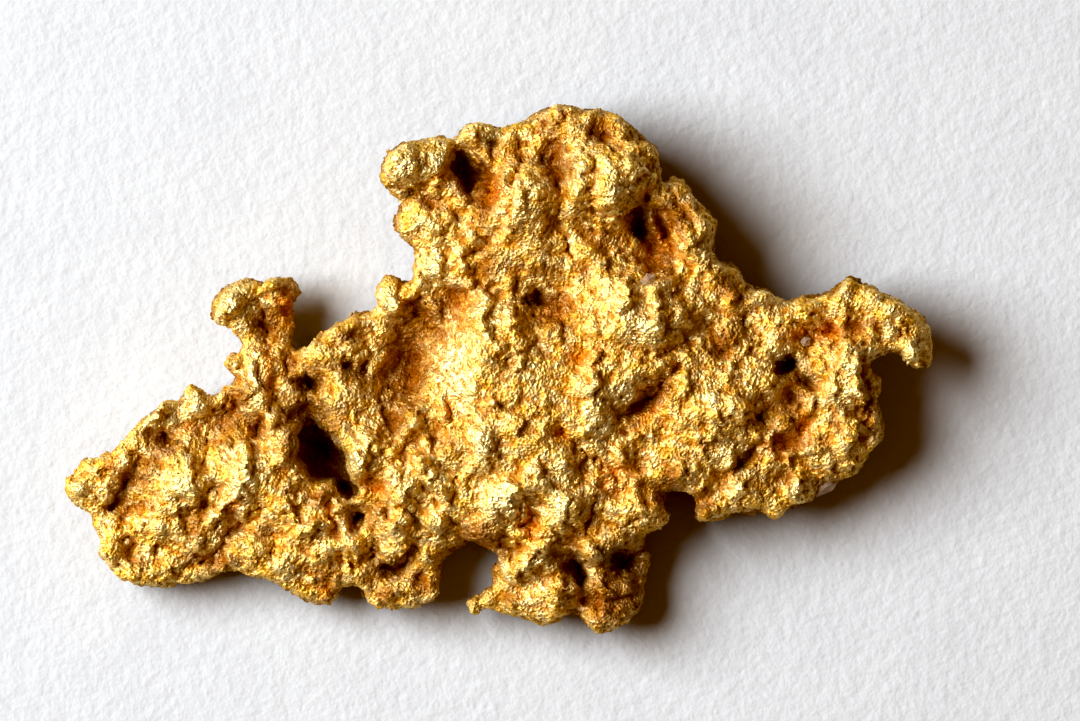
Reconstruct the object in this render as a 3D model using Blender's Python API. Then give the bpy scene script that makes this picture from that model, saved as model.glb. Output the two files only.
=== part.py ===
"""Gold nugget: one flat, ragged piece of native gold with three small quartz grains lodged in it.

The nugget lies on its underside, +Z up. Plan places are grid places: a grid step is PIXEL wide, x runs
to the right and y runs down, from the top left corner of a 1080 x 721 sheet. Heights are millimetres
above the table. Everything scales with LENGTH, the span from the west tip to the tip of the hook.
"""

import math

import bmesh
import bpy
import numpy as np
from mathutils import Matrix, Vector, noise
from mathutils.bvhtree import BVHTree

LENGTH = 0.0346
RIM_WEST_X, RIM_EAST_X = 66, 934
RIM_NORTH_Y, RIM_SOUTH_Y = 102, 632
PIXEL = LENGTH / (RIM_EAST_X - RIM_WEST_X)
MM = 0.001

TRIANGLE_BUDGET = 9300
VOXEL = 0.15 * MM
TOP_EDGE, TOP_EDGE_HEIGHT = 9, 0.72     # the top rounds off over this many grid steps, down to this share
LOW_EDGE, LOW_EDGE_HEIGHT = 24, 0.25    # and the underside curls up more slowly
RIM_HEIGHT = 0.62                       # where the rim stands between the underside and the top
CURVE_STEPS = 3          # pieces of curve between two neighbouring rim points
HEIGHT_REACH = 20.0      # grid steps, how far one height reading reaches
SLAB_THICKNESS = 2.0 * MM
LEAST_THICKNESS = 0.35   # millimetres, where a pit above meets a hollow below

NOISE_SEED = 1                               # where the slow noises lie; 0 would read the clock
WANDER_WAVE, WANDER = 26, 13           # grid steps: the lumps and pits wander off their drawn outlines
FRAY_WAVE, FRAY = 10, 8                # and their edges fray
BEND_WAVE, BEND = 0.7 * MM, 0.25 * MM  # the crumbs' borders bend this much
LUMP_WAVE, LUMP_HEIGHT = 1.5 * MM, 0.10 * MM
CRUMB_WAVE, CRUMB_HEIGHT = 0.70 * MM, 0.10 * MM
SPECK_WAVE, SPECK_HEIGHT = 0.40 * MM, 0.06 * MM
UNDERSIDE_BELOW, SIDE_BELOW = -0.3, 0.4   # how far a face's normal points up
UNDERSIDE_ROUGHNESS, SIDE_ROUGHNESS = 0.9, 1.8

GOLD = (0.83, 0.60, 0.20, 1.0)
QUARTZ = (0.80, 0.76, 0.72, 1.0)

# The rim, clockwise from the west tip, stretch by stretch.
WEST_WING_NORTH = [
    (66, 487), (70, 476), (78, 469), (80, 460), (88, 456), (97, 459), (106, 453), (118, 445), (127, 436),
    (134, 428), (139, 419), (149, 413), (158, 404), (168, 400), (178, 405), (186, 399), (185, 388),
    (192, 383), (199, 388), (207, 394), (217, 396), (223, 389), (233, 384),
]
KNOB = [
    (238, 387), (236, 376), (240, 367), (230, 371), (224, 361), (233, 354), (244, 351), (245, 342),
    (240, 333), (233, 327), (226, 323), (217, 324), (211, 316), (214, 303), (219, 293), (227, 284),
    (239, 282), (245, 278), (256, 280), (264, 283), (270, 278), (284, 281), (295, 280), (298, 286),
    (294, 296), (291, 309), (294, 320), (293, 334), (291, 349),
]
WEST_SHOULDER = [
    (297, 354), (301, 344), (307, 346), (315, 341), (326, 333), (338, 325), (350, 317), (364, 311),
    (379, 304), (379, 288), (388, 274), (397, 281), (410, 284),
]
CROWN = [
    (417, 274), (415, 260), (419, 248), (412, 241), (402, 234), (396, 222), (398, 211), (407, 203),
    (400, 197), (390, 191), (383, 181), (383, 163), (390, 151), (400, 143), (414, 140), (430, 139),
    (444, 139), (452, 146), (458, 137), (465, 127), (480, 124), (493, 129), (507, 130), (520, 124),
    (533, 117), (543, 108), (556, 102), (568, 102), (576, 109), (596, 110), (612, 116), (628, 121),
    (636, 131), (643, 141), (654, 142), (658, 156), (657, 178), (662, 188), (672, 184), (679, 178),
    (689, 189), (699, 201), (711, 212), (716, 228), (713, 245), (714, 259),
]
EAST_SHOULDER = [(725, 262), (737, 269), (746, 281), (751, 289), (765, 286), (776, 293), (786, 301)]
HOOK = [
    (797, 298), (808, 296), (824, 295), (837, 289), (843, 278), (852, 277), (861, 285), (874, 285),
    (884, 293), (898, 295), (909, 305), (923, 314), (930, 328), (934, 346), (931, 362), (919, 368),
    (908, 362), (900, 352), (889, 350), (880, 354), (871, 360), (865, 366),
]
EAST_WING = [
    (871, 368), (878, 376), (880, 388), (876, 399), (880, 412), (886, 424), (885, 436), (877, 444),
    (868, 449), (865, 459), (858, 469), (849, 476), (838, 480), (828, 488), (814, 496), (806, 502),
    (795, 505), (785, 504), (783, 511), (776, 518), (769, 514), (766, 507), (750, 510), (730, 512),
    (718, 517), (703, 521), (694, 513), (697, 502), (690, 492), (679, 488), (667, 490),
]
SOUTH_FOOT = [
    (661, 497), (666, 508), (665, 522), (652, 529), (641, 533), (643, 545), (650, 557), (648, 571),
    (642, 583), (646, 594), (642, 607), (632, 616), (619, 625), (605, 632), (592, 630), (583, 622),
    (587, 611), (576, 609), (566, 611), (558, 618), (545, 623), (532, 620), (519, 613), (506, 612),
    (494, 607), (484, 606), (479, 614), (471, 614), (466, 605), (464, 596), (475, 596), (481, 590),
    (491, 585), (493, 575), (491, 566), (499, 560), (505, 550),
]
SOUTH_BAY = [(508, 546), (496, 547), (484, 545), (474, 539), (462, 541), (452, 548), (441, 552)]
TASSELS = [
    (438, 562), (441, 576), (438, 590), (433, 601), (418, 605), (402, 606), (384, 609), (373, 606),
    (366, 597), (359, 588), (352, 582), (342, 586), (334, 590), (333, 599), (322, 603), (308, 602),
    (296, 596), (284, 588), (270, 580),
]
WEST_WING_SOUTH = [
    (258, 575), (246, 569), (232, 567), (219, 569), (207, 576), (192, 581), (176, 585), (160, 585),
    (146, 584), (132, 583), (122, 577), (112, 568), (103, 559), (97, 549), (102, 538), (95, 530),
    (93, 518), (89, 510), (80, 505), (72, 500), (67, 493),
]
RIM = (
    WEST_WING_NORTH + KNOB + WEST_SHOULDER + CROWN + EAST_SHOULDER + HOOK + EAST_WING
    + SOUTH_FOOT + SOUTH_BAY + TASSELS + WEST_WING_SOUTH
)

# How high the top and the underside stand: x, y, top, underside.
HEIGHTS = [
    # west wing
    (75, 485, 2.2, 1.0), (110, 455, 2.6, 0.8), (105, 500, 2.0, 0.7), (125, 545, 2.2, 0.6),
    (160, 415, 2.5, 0.9), (165, 465, 3.0, 0.3), (160, 520, 2.6, 0.3), (165, 570, 2.0, 0.6),
    (205, 400, 2.8, 0.9), (205, 470, 3.2, 0.3), (225, 415, 2.3, 0.5), (240, 470, 3.4, 0.3),
    (240, 530, 2.6, 0.5), (280, 490, 3.2, 0.4), (280, 555, 2.8, 0.7), (315, 585, 2.2, 0.7),
    (310, 520, 3.0, 0.5), (258, 410, 3.2, 0.5),
    # knob and the bridge below it
    (230, 300, 2.7, 1.0), (258, 292, 2.9, 0.9), (288, 305, 2.1, 0.8), (262, 330, 2.4, 0.8),
    (250, 365, 2.8, 0.8), (280, 370, 2.4, 0.7), (292, 400, 2.7, 0.5), (284, 445, 3.2, 0.4),
    # west shoulder and tassels
    (320, 350, 3.5, 0.9), (350, 330, 3.3, 0.9), (385, 295, 3.3, 1.0), (340, 390, 3.6, 0.5),
    (375, 360, 3.1, 0.4), (408, 350, 2.6, 0.3), (415, 310, 2.9, 0.6), (395, 405, 3.2, 0.3),
    (358, 450, 3.8, 0.4), (400, 470, 3.8, 0.3), (360, 500, 3.0, 0.4), (345, 540, 3.0, 0.6),
    (398, 530, 3.3, 0.6), (385, 590, 2.3, 0.7), (430, 565, 2.5, 0.7), (425, 520, 3.3, 0.5),
    # central slab
    (440, 300, 3.4, 0.8), (428, 345, 3.2, 0.3), (450, 370, 4.0, 0.2), (480, 360, 4.7, 0.2),
    (505, 370, 4.8, 0.2), (445, 420, 3.8, 0.2), (490, 430, 4.6, 0.2), (455, 480, 3.8, 0.3),
    (540, 340, 4.3, 0.2), (540, 400, 4.6, 0.2), (540, 460, 4.5, 0.2), (500, 500, 4.3, 0.7),
    (560, 500, 4.3, 0.6), (600, 400, 4.5, 0.2), (530, 525, 3.3, 0.8), (600, 470, 4.0, 0.3),
    # saddle under the crown
    (435, 260, 3.3, 1.2), (480, 280, 3.7, 0.7), (540, 285, 3.6, 0.5), (600, 280, 4.3, 0.4),
    # crown
    (415, 160, 4.0, 1.5), (430, 200, 3.5, 1.3), (415, 230, 3.5, 1.5), (460, 235, 3.9, 0.9),
    (480, 140, 4.0, 1.3), (515, 200, 4.7, 0.6), (520, 145, 3.9, 1.0), (555, 115, 4.2, 1.2),
    (600, 180, 5.0, 0.6), (600, 120, 4.2, 1.2), (635, 145, 4.3, 1.2), (530, 245, 4.2, 0.5),
    (600, 240, 4.1, 0.4), (650, 235, 3.3, 0.8), (690, 225, 4.3, 1.2), (705, 245, 3.7, 1.2),
    # east slab
    (610, 320, 4.8, 0.2), (650, 310, 4.8, 0.2), (700, 290, 4.1, 0.5), (735, 280, 3.5, 1.0),
    (660, 350, 4.3, 0.2), (715, 335, 3.7, 0.3), (640, 415, 3.6, 0.2), (690, 395, 4.3, 0.2),
    (720, 430, 4.2, 0.2), (680, 455, 4.0, 0.4), (740, 370, 4.2, 0.3), (730, 490, 3.3, 0.8),
    (640, 490, 3.4, 0.6), (750, 455, 3.4, 0.4),
    # east wing and hook
    (765, 300, 3.8, 1.0), (790, 340, 3.6, 0.7), (785, 410, 3.2, 0.4), (815, 300, 3.8, 1.3),
    (825, 330, 3.1, 1.0), (860, 295, 3.8, 1.5), (890, 310, 3.9, 1.8), (905, 345, 3.4, 1.9),
    (925, 345, 2.9, 1.9), (850, 370, 4.2, 0.9), (835, 410, 3.9, 0.8), (872, 400, 3.0, 1.1),
    (850, 450, 3.4, 1.0), (815, 450, 3.4, 0.6), (795, 490, 3.1, 0.9), (830, 478, 2.6, 0.9),
    # south foot
    (530, 555, 3.2, 0.6), (520, 595, 2.4, 0.6), (485, 598, 2.0, 0.9), (625, 512, 3.7, 0.8),
    (595, 548, 3.3, 0.6), (575, 575, 2.4, 0.4), (600, 590, 2.7, 0.4), (636, 575, 1.8, 0.6),
    (605, 618, 2.4, 0.7), (550, 600, 2.6, 0.5),
]

# The relief on top. Each form has a place, a half length, a half width, a turn in degrees anticlockwise
# and a height or depth. Creases and ridges have a half width and a height, and run through their places.
CROWN_RELIEF = [
    # the ear at the west, and the small lobes below it
    ("lump", 414, 164, 32, 26, 20, 0.50), ("lump", 398, 158, 14, 20, 0, 0.20),
    ("pit", 411, 191, 9, 7, -20, 0.42), ("pit", 434, 203, 15, 7, -35, 0.48),
    ("lump", 428, 189, 9, 7, 0, 0.30), ("lump", 447, 187, 10, 8, 0, 0.30),
    ("lump", 463, 190, 7, 13, 0, 0.35), ("crease", 6, 0.35, [(398, 190), (420, 180), (448, 178)]),
    ("lump", 418, 220, 20, 20, 0, 0.45), ("ledge", 414, 262, 26, 20, -30, 0.55),
    ("lump", 447, 224, 30, 10, 52, 0.40), ("lump", 468, 240, 28, 8, 52, 0.35),
    ("crease", 5, 0.28, [(440, 238), (456, 216), (466, 206)]), ("lump", 470, 214, 12, 8, 40, 0.30),
    ("crease", 6, 0.35, [(452, 262), (470, 258), (486, 240), (490, 214)]),
    # the cavity, with its smooth wall at the east
    ("pit", 468, 176, 30, 17, -66, 1.47), ("pit", 486, 190, 28, 15, -75, 0.6),
    ("lump", 480, 132, 24, 11, 8, 0.45), ("pit", 491, 141, 12, 8, -5, 0.66),
    # the pillar and the notch above it
    ("ledge", 509, 196, 16, 44, -8, 0.60), ("lump", 530, 210, 50, 16, 100, 0.45),
    ("lump", 503, 232, 30, 9, 68, 0.40), ("crease", 5, 0.32, [(520, 166), (510, 196), (500, 226)]),
    ("pit", 541, 158, 8, 7, 0, 0.54), ("pit", 523, 152, 10, 8, 0, 0.36), ("pit", 550, 146, 8, 10, 0, 0.3),
    ("lump", 536, 140, 8, 8, 0, 0.3), ("lump", 513, 141, 8, 8, 0, 0.3),
    ("crease", 7, 0.49, [(557, 140), (553, 168), (560, 190), (557, 212), (558, 236), (566, 252)]),
    # the crest with its dimple, and the boulder
    ("lump", 558, 114, 20, 17, 0, 0.50), ("pit", 557, 121, 10, 10, 0, 0.45),
    ("pit", 540, 124, 5, 6, 0, 0.3), ("lump", 575, 130, 7, 14, 0, 0.35),
    ("pit", 596, 126, 8, 13, 0, 0.42), ("lump", 620, 126, 15, 12, 0, 0.35),
    ("crease", 5, 0.35, [(586, 140), (602, 137), (618, 140)]), ("lump", 606, 178, 50, 40, 80, 0.75),
    ("ledge", 598, 176, 20, 30, -10, 0.35), ("ledge", 632, 160, 14, 22, -20, 0.40),
    ("lump", 578, 196, 40, 10, 88, 0.35), ("lump", 648, 152, 9, 12, 0, 0.25),
    ("crease", 5, 0.28, [(588, 200), (598, 220), (590, 236)]), ("lump", 568, 232, 8, 12, 0, 0.35),
    ("lump", 583, 251, 12, 9, 0, 0.50), ("pit", 604, 250, 12, 8, 0, 0.54),
    ("lump", 620, 218, 20, 9, 60, 0.35), ("pit", 616, 238, 10, 8, 0, 0.3),
    # the cavern and the flange at the east
    ("crease", 8, 0.56, [(641, 172), (645, 192), (641, 214)]), ("pit", 654, 234, 34, 19, -62, 0.95),
    ("pit", 640, 228, 9, 18, 0, 0.45), ("ridge", 5, 1.1, [(652, 216), (660, 236), (668, 254)]),
    ("ridge", 6, 0.8, [(667, 196), (674, 216), (684, 238), (690, 256)]),
    ("lump", 700, 226, 34, 10, -60, 0.45), ("crease", 5, 0.35, [(672, 196), (688, 212), (700, 232)]),
    ("lump", 696, 254, 13, 10, 0, 0.50),
    # the saddle
    ("lump", 546, 272, 20, 14, 0, 0.45), ("pit", 546, 270, 9, 7, 0, 0.27),
    ("pit", 538, 300, 17, 5, 0, 1.0), ("crease", 6, 0.42, [(518, 304), (538, 298), (566, 298)]),
    ("pit", 475, 277, 10, 6, 0, 0.42), ("lump", 500, 268, 18, 12, 40, 0.35),
    ("pit", 452, 296, 12, 12, 0, 0.36), ("lump", 520, 250, 16, 12, 0, 0.25),
    ("pit", 566, 300, 10, 8, 0, 0.24), ("pit", 645, 264, 20, 8, -8, 0.54),
    ("pit", 668, 262, 8, 8, 0, 0.42), ("pit", 690, 268, 7, 7, 0, 0.3),
    ("lump", 668, 279, 14, 9, 50, 0.50), ("lump", 714, 262, 14, 10, 0, 0.3),
]

CENTRE_RELIEF = [
    # the slab's west face, bright from the crown's foot down to the south bay
    ("ledge", 478, 308, 13, 22, -10, 0.50), ("ledge", 506, 315, 11, 16, 0, 0.40),
    ("ridge", 12, 0.35, [(470, 335), (480, 362), (478, 398)]), ("lump", 494, 345, 26, 18, 60, 0.30),
    ("ledge", 477, 444, 13, 20, 25, 0.50), ("ledge", 503, 496, 20, 24, -25, 0.50),
    ("ledge", 556, 508, 16, 24, -10, 0.55), ("pit", 530, 516, 14, 10, 20, 0.42),
    ("lump", 518, 488, 16, 14, 0, 0.3), ("lump", 540, 484, 12, 12, 0, 0.3),
    # between the west face and the tassels
    ("ledge", 404, 478, 18, 30, -35, 0.60),
    ("crease", 7, 0.35, [(406, 458), (424, 482), (444, 508), (458, 528)]),
    ("ridge", 6, 0.5, [(416, 452), (434, 476), (450, 500)]), ("lump", 453, 452, 14, 13, 0, 0.45),
    ("crease", 5, 0.28, [(432, 440), (442, 466), (466, 486)]), ("pit", 438, 430, 9, 16, 30, 0.36),
    ("pit", 452, 424, 10, 7, 0, 0.3), ("lump", 440, 520, 20, 10, 60, 0.35),
    ("ridge", 6, 0.5, [(388, 454), (404, 432), (422, 408)]),
    # small hollows on the flat of the slab
    ("pit", 513, 362, 6, 10, 0, 0.24), ("pit", 497, 388, 7, 6, 0, 0.18), ("pit", 522, 400, 6, 6, 0, 0.18),
    ("pit", 575, 355, 16, 8, 0, 0.18), ("ledge", 588, 396, 12, 36, 5, 0.45),
    ("crease", 7, 0.49, [(558, 430), (574, 440), (584, 456), (578, 482)]),
    ("lump", 560, 460, 16, 14, 0, 0.25), ("lump", 534, 440, 22, 18, 0, 0.15),
    # the upper sheet's torn edge and the slope below it
    ("ledge", 606, 300, 24, 32, -20, 0.65), ("lump", 640, 325, 28, 22, 20, 0.30),
    ("lump", 634, 372, 44, 14, 32, 0.45), ("pit", 640, 412, 26, 9, 36, 0.42),
    ("crease", 8, 0.7, [(614, 417), (636, 407), (656, 392), (673, 366)]),
    ("crease", 10, 0.35, [(638, 358), (670, 348), (700, 336), (716, 326)]),
    ("pit", 624, 431, 12, 5, 0, 0.3), ("lump", 622, 448, 16, 9, -20, 0.3),
    ("lump", 636, 476, 16, 10, 0, 0.3), ("crease", 6, 0.35, [(590, 455), (612, 466), (640, 470)]),
    ("pit", 606, 486, 10, 8, 0, 0.24), ("pit", 654, 484, 14, 7, -20, 0.48),
    ("lump", 628, 513, 26, 12, -10, 0.50), ("lump", 652, 516, 12, 9, 0, 0.3),
    ("pit", 590, 517, 7, 17, -10, 0.6),
]

EAST_RELIEF = [
    ("lump", 690, 310, 30, 22, 30, 0.25), ("lump", 722, 292, 24, 14, -40, 0.35),
    ("crease", 6, 0.42, [(704, 320), (716, 334), (724, 352)]), ("lump", 731, 331, 14, 16, 0, 0.45),
    ("pit", 745, 325, 5, 9, 0, 0.54), ("lump", 764, 297, 18, 12, 0, 0.50),
    ("pit", 745, 297, 7, 8, 0, 0.24), ("ledge", 768, 330, 14, 24, -30, 0.45),
    ("lump", 700, 405, 50, 36, -25, 0.25), ("ledge", 700, 405, 14, 16, -10, 0.30),
    ("ledge", 735, 405, 10, 10, -10, 0.25),
    # the triangular hole and the hollow ground below it
    ("shaft", 790, 361, 12, 11, 0, 1.2), ("crease", 7, 0.91, [(794, 366), (803, 377), (812, 388)]),
    ("lump", 774, 387, 9, 12, 0, 0.45), ("lump", 793, 380, 9, 6, 30, 0.35),
    ("pit", 792, 397, 13, 8, 10, 0.6), ("pit", 805, 420, 7, 14, 0, 0.42),
    ("pit", 759, 418, 6, 12, 0, 0.48), ("lump", 775, 415, 9, 12, 0, 0.3),
    ("ridge", 4, 0.4, [(800, 404), (782, 428), (760, 446)]), ("pit", 786, 442, 18, 12, 20, 0.3),
    # the long pit near the south rim, with its lip
    ("pit", 746, 455, 22, 10, 50, 1.05), ("ridge", 5, 0.5, [(756, 434), (767, 446), (771, 462)]),
    ("pit", 721, 474, 7, 6, 0, 0.54), ("ledge", 738, 487, 8, 14, -15, 0.50),
    ("lump", 708, 508, 16, 10, 0, 0.45), ("lump", 758, 492, 14, 12, 0, 0.25),
    ("lump", 776, 508, 8, 9, 0, 0.35), ("pit", 788, 468, 12, 6, 20, 0.54),
    ("ledge", 796, 485, 9, 13, -10, 0.50), ("lump", 690, 470, 26, 12, -15, 0.3),
    # the lit flank of the east wing and its dark east side
    ("ledge", 846, 372, 18, 34, -5, 0.55), ("ledge", 826, 380, 12, 24, -10, 0.35),
    ("lump", 815, 400, 10, 12, 0, 0.30), ("ledge", 836, 428, 16, 22, -20, 0.35),
    ("lump", 868, 385, 10, 16, 0, 0.25), ("lump", 868, 425, 12, 14, 0, 0.25),
    ("lump", 845, 457, 18, 14, 20, 0.35), ("lump", 818, 455, 12, 12, 0, 0.3),
    ("pit", 852, 410, 6, 8, 0, 0.24), ("pit", 866, 440, 8, 5, 0, 0.36),
    ("pit", 822, 482, 13, 8, 35, 0.48),
    # the hook and its channel
    ("lump", 806, 302, 20, 9, 10, 0.45), ("lump", 840, 298, 14, 9, 0, 0.35),
    ("lump", 848, 284, 9, 7, 0, 0.3), ("pit", 800, 330, 20, 8, 10, 0.36),
    ("pit", 832, 332, 16, 10, 15, 0.54), ("pit", 836, 342, 8, 5, 0, 0.36),
    ("pit", 817, 345, 7, 6, 0, 0.48), ("lump", 826, 352, 12, 6, 20, 0.3),
    ("lump", 846, 346, 8, 20, 0, 0.45), ("lump", 869, 336, 8, 20, 15, 0.55),
    ("pit", 857, 322, 7, 10, 0, 0.36), ("lump", 876, 298, 14, 8, 0, 0.35),
    ("ledge", 886, 308, 8, 12, -10, 0.45), ("pit", 881, 330, 7, 10, 0, 0.24),
    ("lump", 899, 312, 12, 12, 0, 0.3), ("pit", 902, 330, 9, 6, 0, 0.42),
    ("lump", 912, 350, 14, 16, 0, 0.50), ("lump", 919, 325, 9, 9, 0, 0.3),
]

SOUTH_RELIEF = [
    # the foot
    ("lump", 532, 548, 36, 12, 48, 0.60), ("crease", 7, 0.49, [(506, 556), (524, 546), (512, 534)]),
    ("pit", 546, 572, 14, 6, 30, 0.48), ("lump", 515, 575, 14, 12, 0, 0.4),
    ("lump", 540, 590, 10, 12, 0, 0.3), ("lump", 556, 592, 9, 18, 0, 0.5),
    ("lump", 520, 600, 14, 9, 0, 0.3), ("lump", 488, 594, 14, 7, 30, 0.4),
    ("lump", 475, 607, 7, 7, 0, 0.4), ("pit", 563, 556, 10, 8, 0, 0.42),
    ("lump", 596, 546, 15, 15, 0, 0.65), ("shaft", 579, 571, 9, 24, 12, 1.0),
    ("pit", 586, 600, 8, 8, 0, 0.54), ("pit", 624, 558, 20, 14, -20, 0.9),
    ("crease", 8, 0.49, [(602, 574), (620, 562), (642, 548)]), ("lump", 602, 580, 12, 14, 0, 0.4),
    ("lump", 630, 590, 14, 14, 0, 0.35), ("lump", 606, 616, 18, 12, 10, 0.5),
    ("pit", 634, 574, 6, 8, 0, 0.24), ("pit", 618, 604, 9, 5, 0, 0.3),
    # the tassels
    ("pit", 356, 513, 12, 12, 0, 0.98), ("ridge", 6, 0.5, [(334, 512), (344, 497), (366, 492)]),
    ("lump", 397, 532, 14, 32, 0, 0.60), ("crease", 6, 0.63, [(408, 506), (418, 520), (425, 536)]),
    ("crease", 6, 0.42, [(378, 512), (374, 532), (378, 550)]), ("lump", 386, 536, 5, 16, 0, 0.2),
    ("crease", 7, 0.91, [(372, 550), (388, 566), (397, 572), (406, 560), (412, 546)]),
    ("lump", 434, 530, 12, 18, 20, 0.45), ("lump", 428, 562, 11, 14, 0, 0.45),
    ("lump", 398, 590, 24, 10, 0, 0.4), ("pit", 365, 558, 11, 10, 0, 0.6),
    ("lump", 362, 580, 8, 10, 0, 0.3), ("pit", 416, 578, 14, 5, -10, 0.48),
    ("pit", 342, 560, 6, 14, 10, 0.42), ("lump", 350, 540, 12, 12, 0, 0.4),
    ("lump", 436, 586, 7, 10, 0, 0.3), ("pit", 380, 590, 7, 7, 0, 0.24),
    ("lump", 318, 582, 14, 12, 0, 0.35), ("pit", 334, 582, 5, 8, 0, 0.3),
]

WEST_RELIEF = [
    # the deep hole, its tail and the hollow above it
    ("shaft", 321, 450, 34, 27, -60, 3.0), ("shaft", 344, 482, 20, 12, -52, 2.4),
    ("pit", 308, 414, 20, 18, 0, 0.9), ("lump", 284, 448, 10, 26, 0, 0.35),
    ("shaft", 310, 383, 13, 13, 0, 1.0), ("pit", 288, 360, 7, 14, 5, 0.6),
    # the shoulder
    ("ledge", 360, 452, 15, 34, -15, 0.55), ("lump", 318, 352, 14, 10, 35, 0.45),
    ("lump", 345, 328, 16, 9, 35, 0.35), ("pit", 356, 336, 16, 8, 20, 0.3),
    ("lump", 386, 290, 10, 14, 0, 0.35), ("ledge", 384, 305, 12, 12, 0, 0.3),
    ("pit", 348, 366, 8, 9, 0, 0.48), ("pit", 366, 366, 6, 8, 0, 0.36),
    ("lump", 334, 372, 10, 14, 0, 0.3), ("ridge", 5, 0.4, [(340, 352), (362, 348), (380, 356)]),
    ("lump", 346, 398, 24, 14, 10, 0.3), ("pit", 404, 358, 46, 27, 80, 0.85),
    ("pit", 415, 305, 12, 10, 0, 0.36), ("pit", 392, 420, 18, 14, 0, 0.18),
    ("crease", 5, 0.35, [(372, 424), (378, 438), (372, 452)]), ("pit", 376, 482, 14, 12, 0, 0.36),
    # the bridge, the stem and the knob
    ("ledge", 254, 376, 12, 30, 5, 0.45), ("crease", 7, 0.42, [(270, 346), (272, 372), (280, 392)]),
    ("lump", 282, 372, 7, 22, 10, 0.25), ("lump", 233, 361, 8, 7, 0, 0.4),
    ("lump", 245, 345, 8, 8, 0, 0.25), ("pit", 258, 429, 13, 12, 0, 0.66),
    ("lump", 276, 424, 8, 12, 0, 0.3), ("lump", 254, 404, 14, 12, 0, 0.3),
    ("lump", 228, 307, 14, 13, 0, 0.4), ("pit", 228, 307, 5, 5, 0, 0.24),
    ("lump", 244, 287, 14, 10, 20, 0.4), ("crease", 6, 0.63, [(256, 298), (262, 318), (268, 338)]),
    ("lump", 270, 290, 10, 12, 0, 0.4), ("lump", 245, 328, 10, 8, 0, 0.3),
    ("ridge", 6, 0.4, [(276, 284), (278, 306), (276, 330)]),
    # the wing
    ("lump", 84, 485, 16, 14, 0, 0.4), ("crease", 5, 0.42, [(80, 469), (90, 475), (97, 481)]),
    ("lump", 98, 466, 12, 9, 30, 0.35), ("lump", 114, 466, 14, 12, 40, 0.35),
    ("crease", 10, 0.77, [(142, 460), (130, 476), (121, 492), (108, 506)]),
    ("crease", 7, 0.49, [(102, 507), (120, 506), (137, 507)]), ("pit", 165, 437, 16, 10, 0, 0.72),
    ("crease", 6, 0.42, [(156, 444), (146, 456), (166, 462)]), ("lump", 160, 412, 20, 10, 35, 0.4),
    ("lump", 192, 392, 7, 9, 0, 0.4), ("lump", 196, 412, 18, 12, 30, 0.4),
    ("crease", 17, 0.7, [(238, 392), (224, 408), (212, 428), (204, 456)]),
    ("pit", 192, 426, 8, 7, 0, 0.24), ("ledge", 158, 484, 20, 24, -30, 0.45),
    ("ledge", 190, 478, 18, 22, -40, 0.45),
    ("crease", 8, 0.63, [(222, 482), (204, 497), (184, 513), (190, 530)]),
    ("ledge", 234, 470, 18, 28, -30, 0.45), ("lump", 238, 505, 20, 10, 40, 0.35),
    ("crease", 7, 0.56, [(264, 503), (250, 524)]),
    ("crease", 10, 0.84, [(240, 520), (227, 536), (216, 556), (202, 564)]),
    ("ledge", 150, 524, 16, 16, -20, 0.4), ("lump", 176, 524, 10, 14, 0, 0.3),
    ("lump", 205, 524, 22, 9, 40, 0.35), ("crease", 7, 0.56, [(128, 532), (130, 548), (128, 562)]),
    ("pit", 160, 546, 7, 6, 0, 0.3), ("lump", 113, 548, 10, 16, 10, 0.4),
    ("lump", 165, 572, 36, 9, 0, 0.35), ("lump", 190, 548, 14, 12, 0, 0.3),
    ("lump", 256, 546, 14, 20, -20, 0.4), ("pit", 272, 534, 9, 7, 0, 0.42),
    ("lump", 284, 562, 18, 14, -30, 0.35), ("ledge", 305, 512, 20, 28, -60, 0.40),
    ("crease", 7, 0.49, [(322, 498), (330, 516), (338, 536)]), ("ledge", 272, 492, 16, 20, -30, 0.35),
    ("ridge", 5, 0.4, [(268, 470), (282, 460), (296, 472)]),
]

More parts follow.
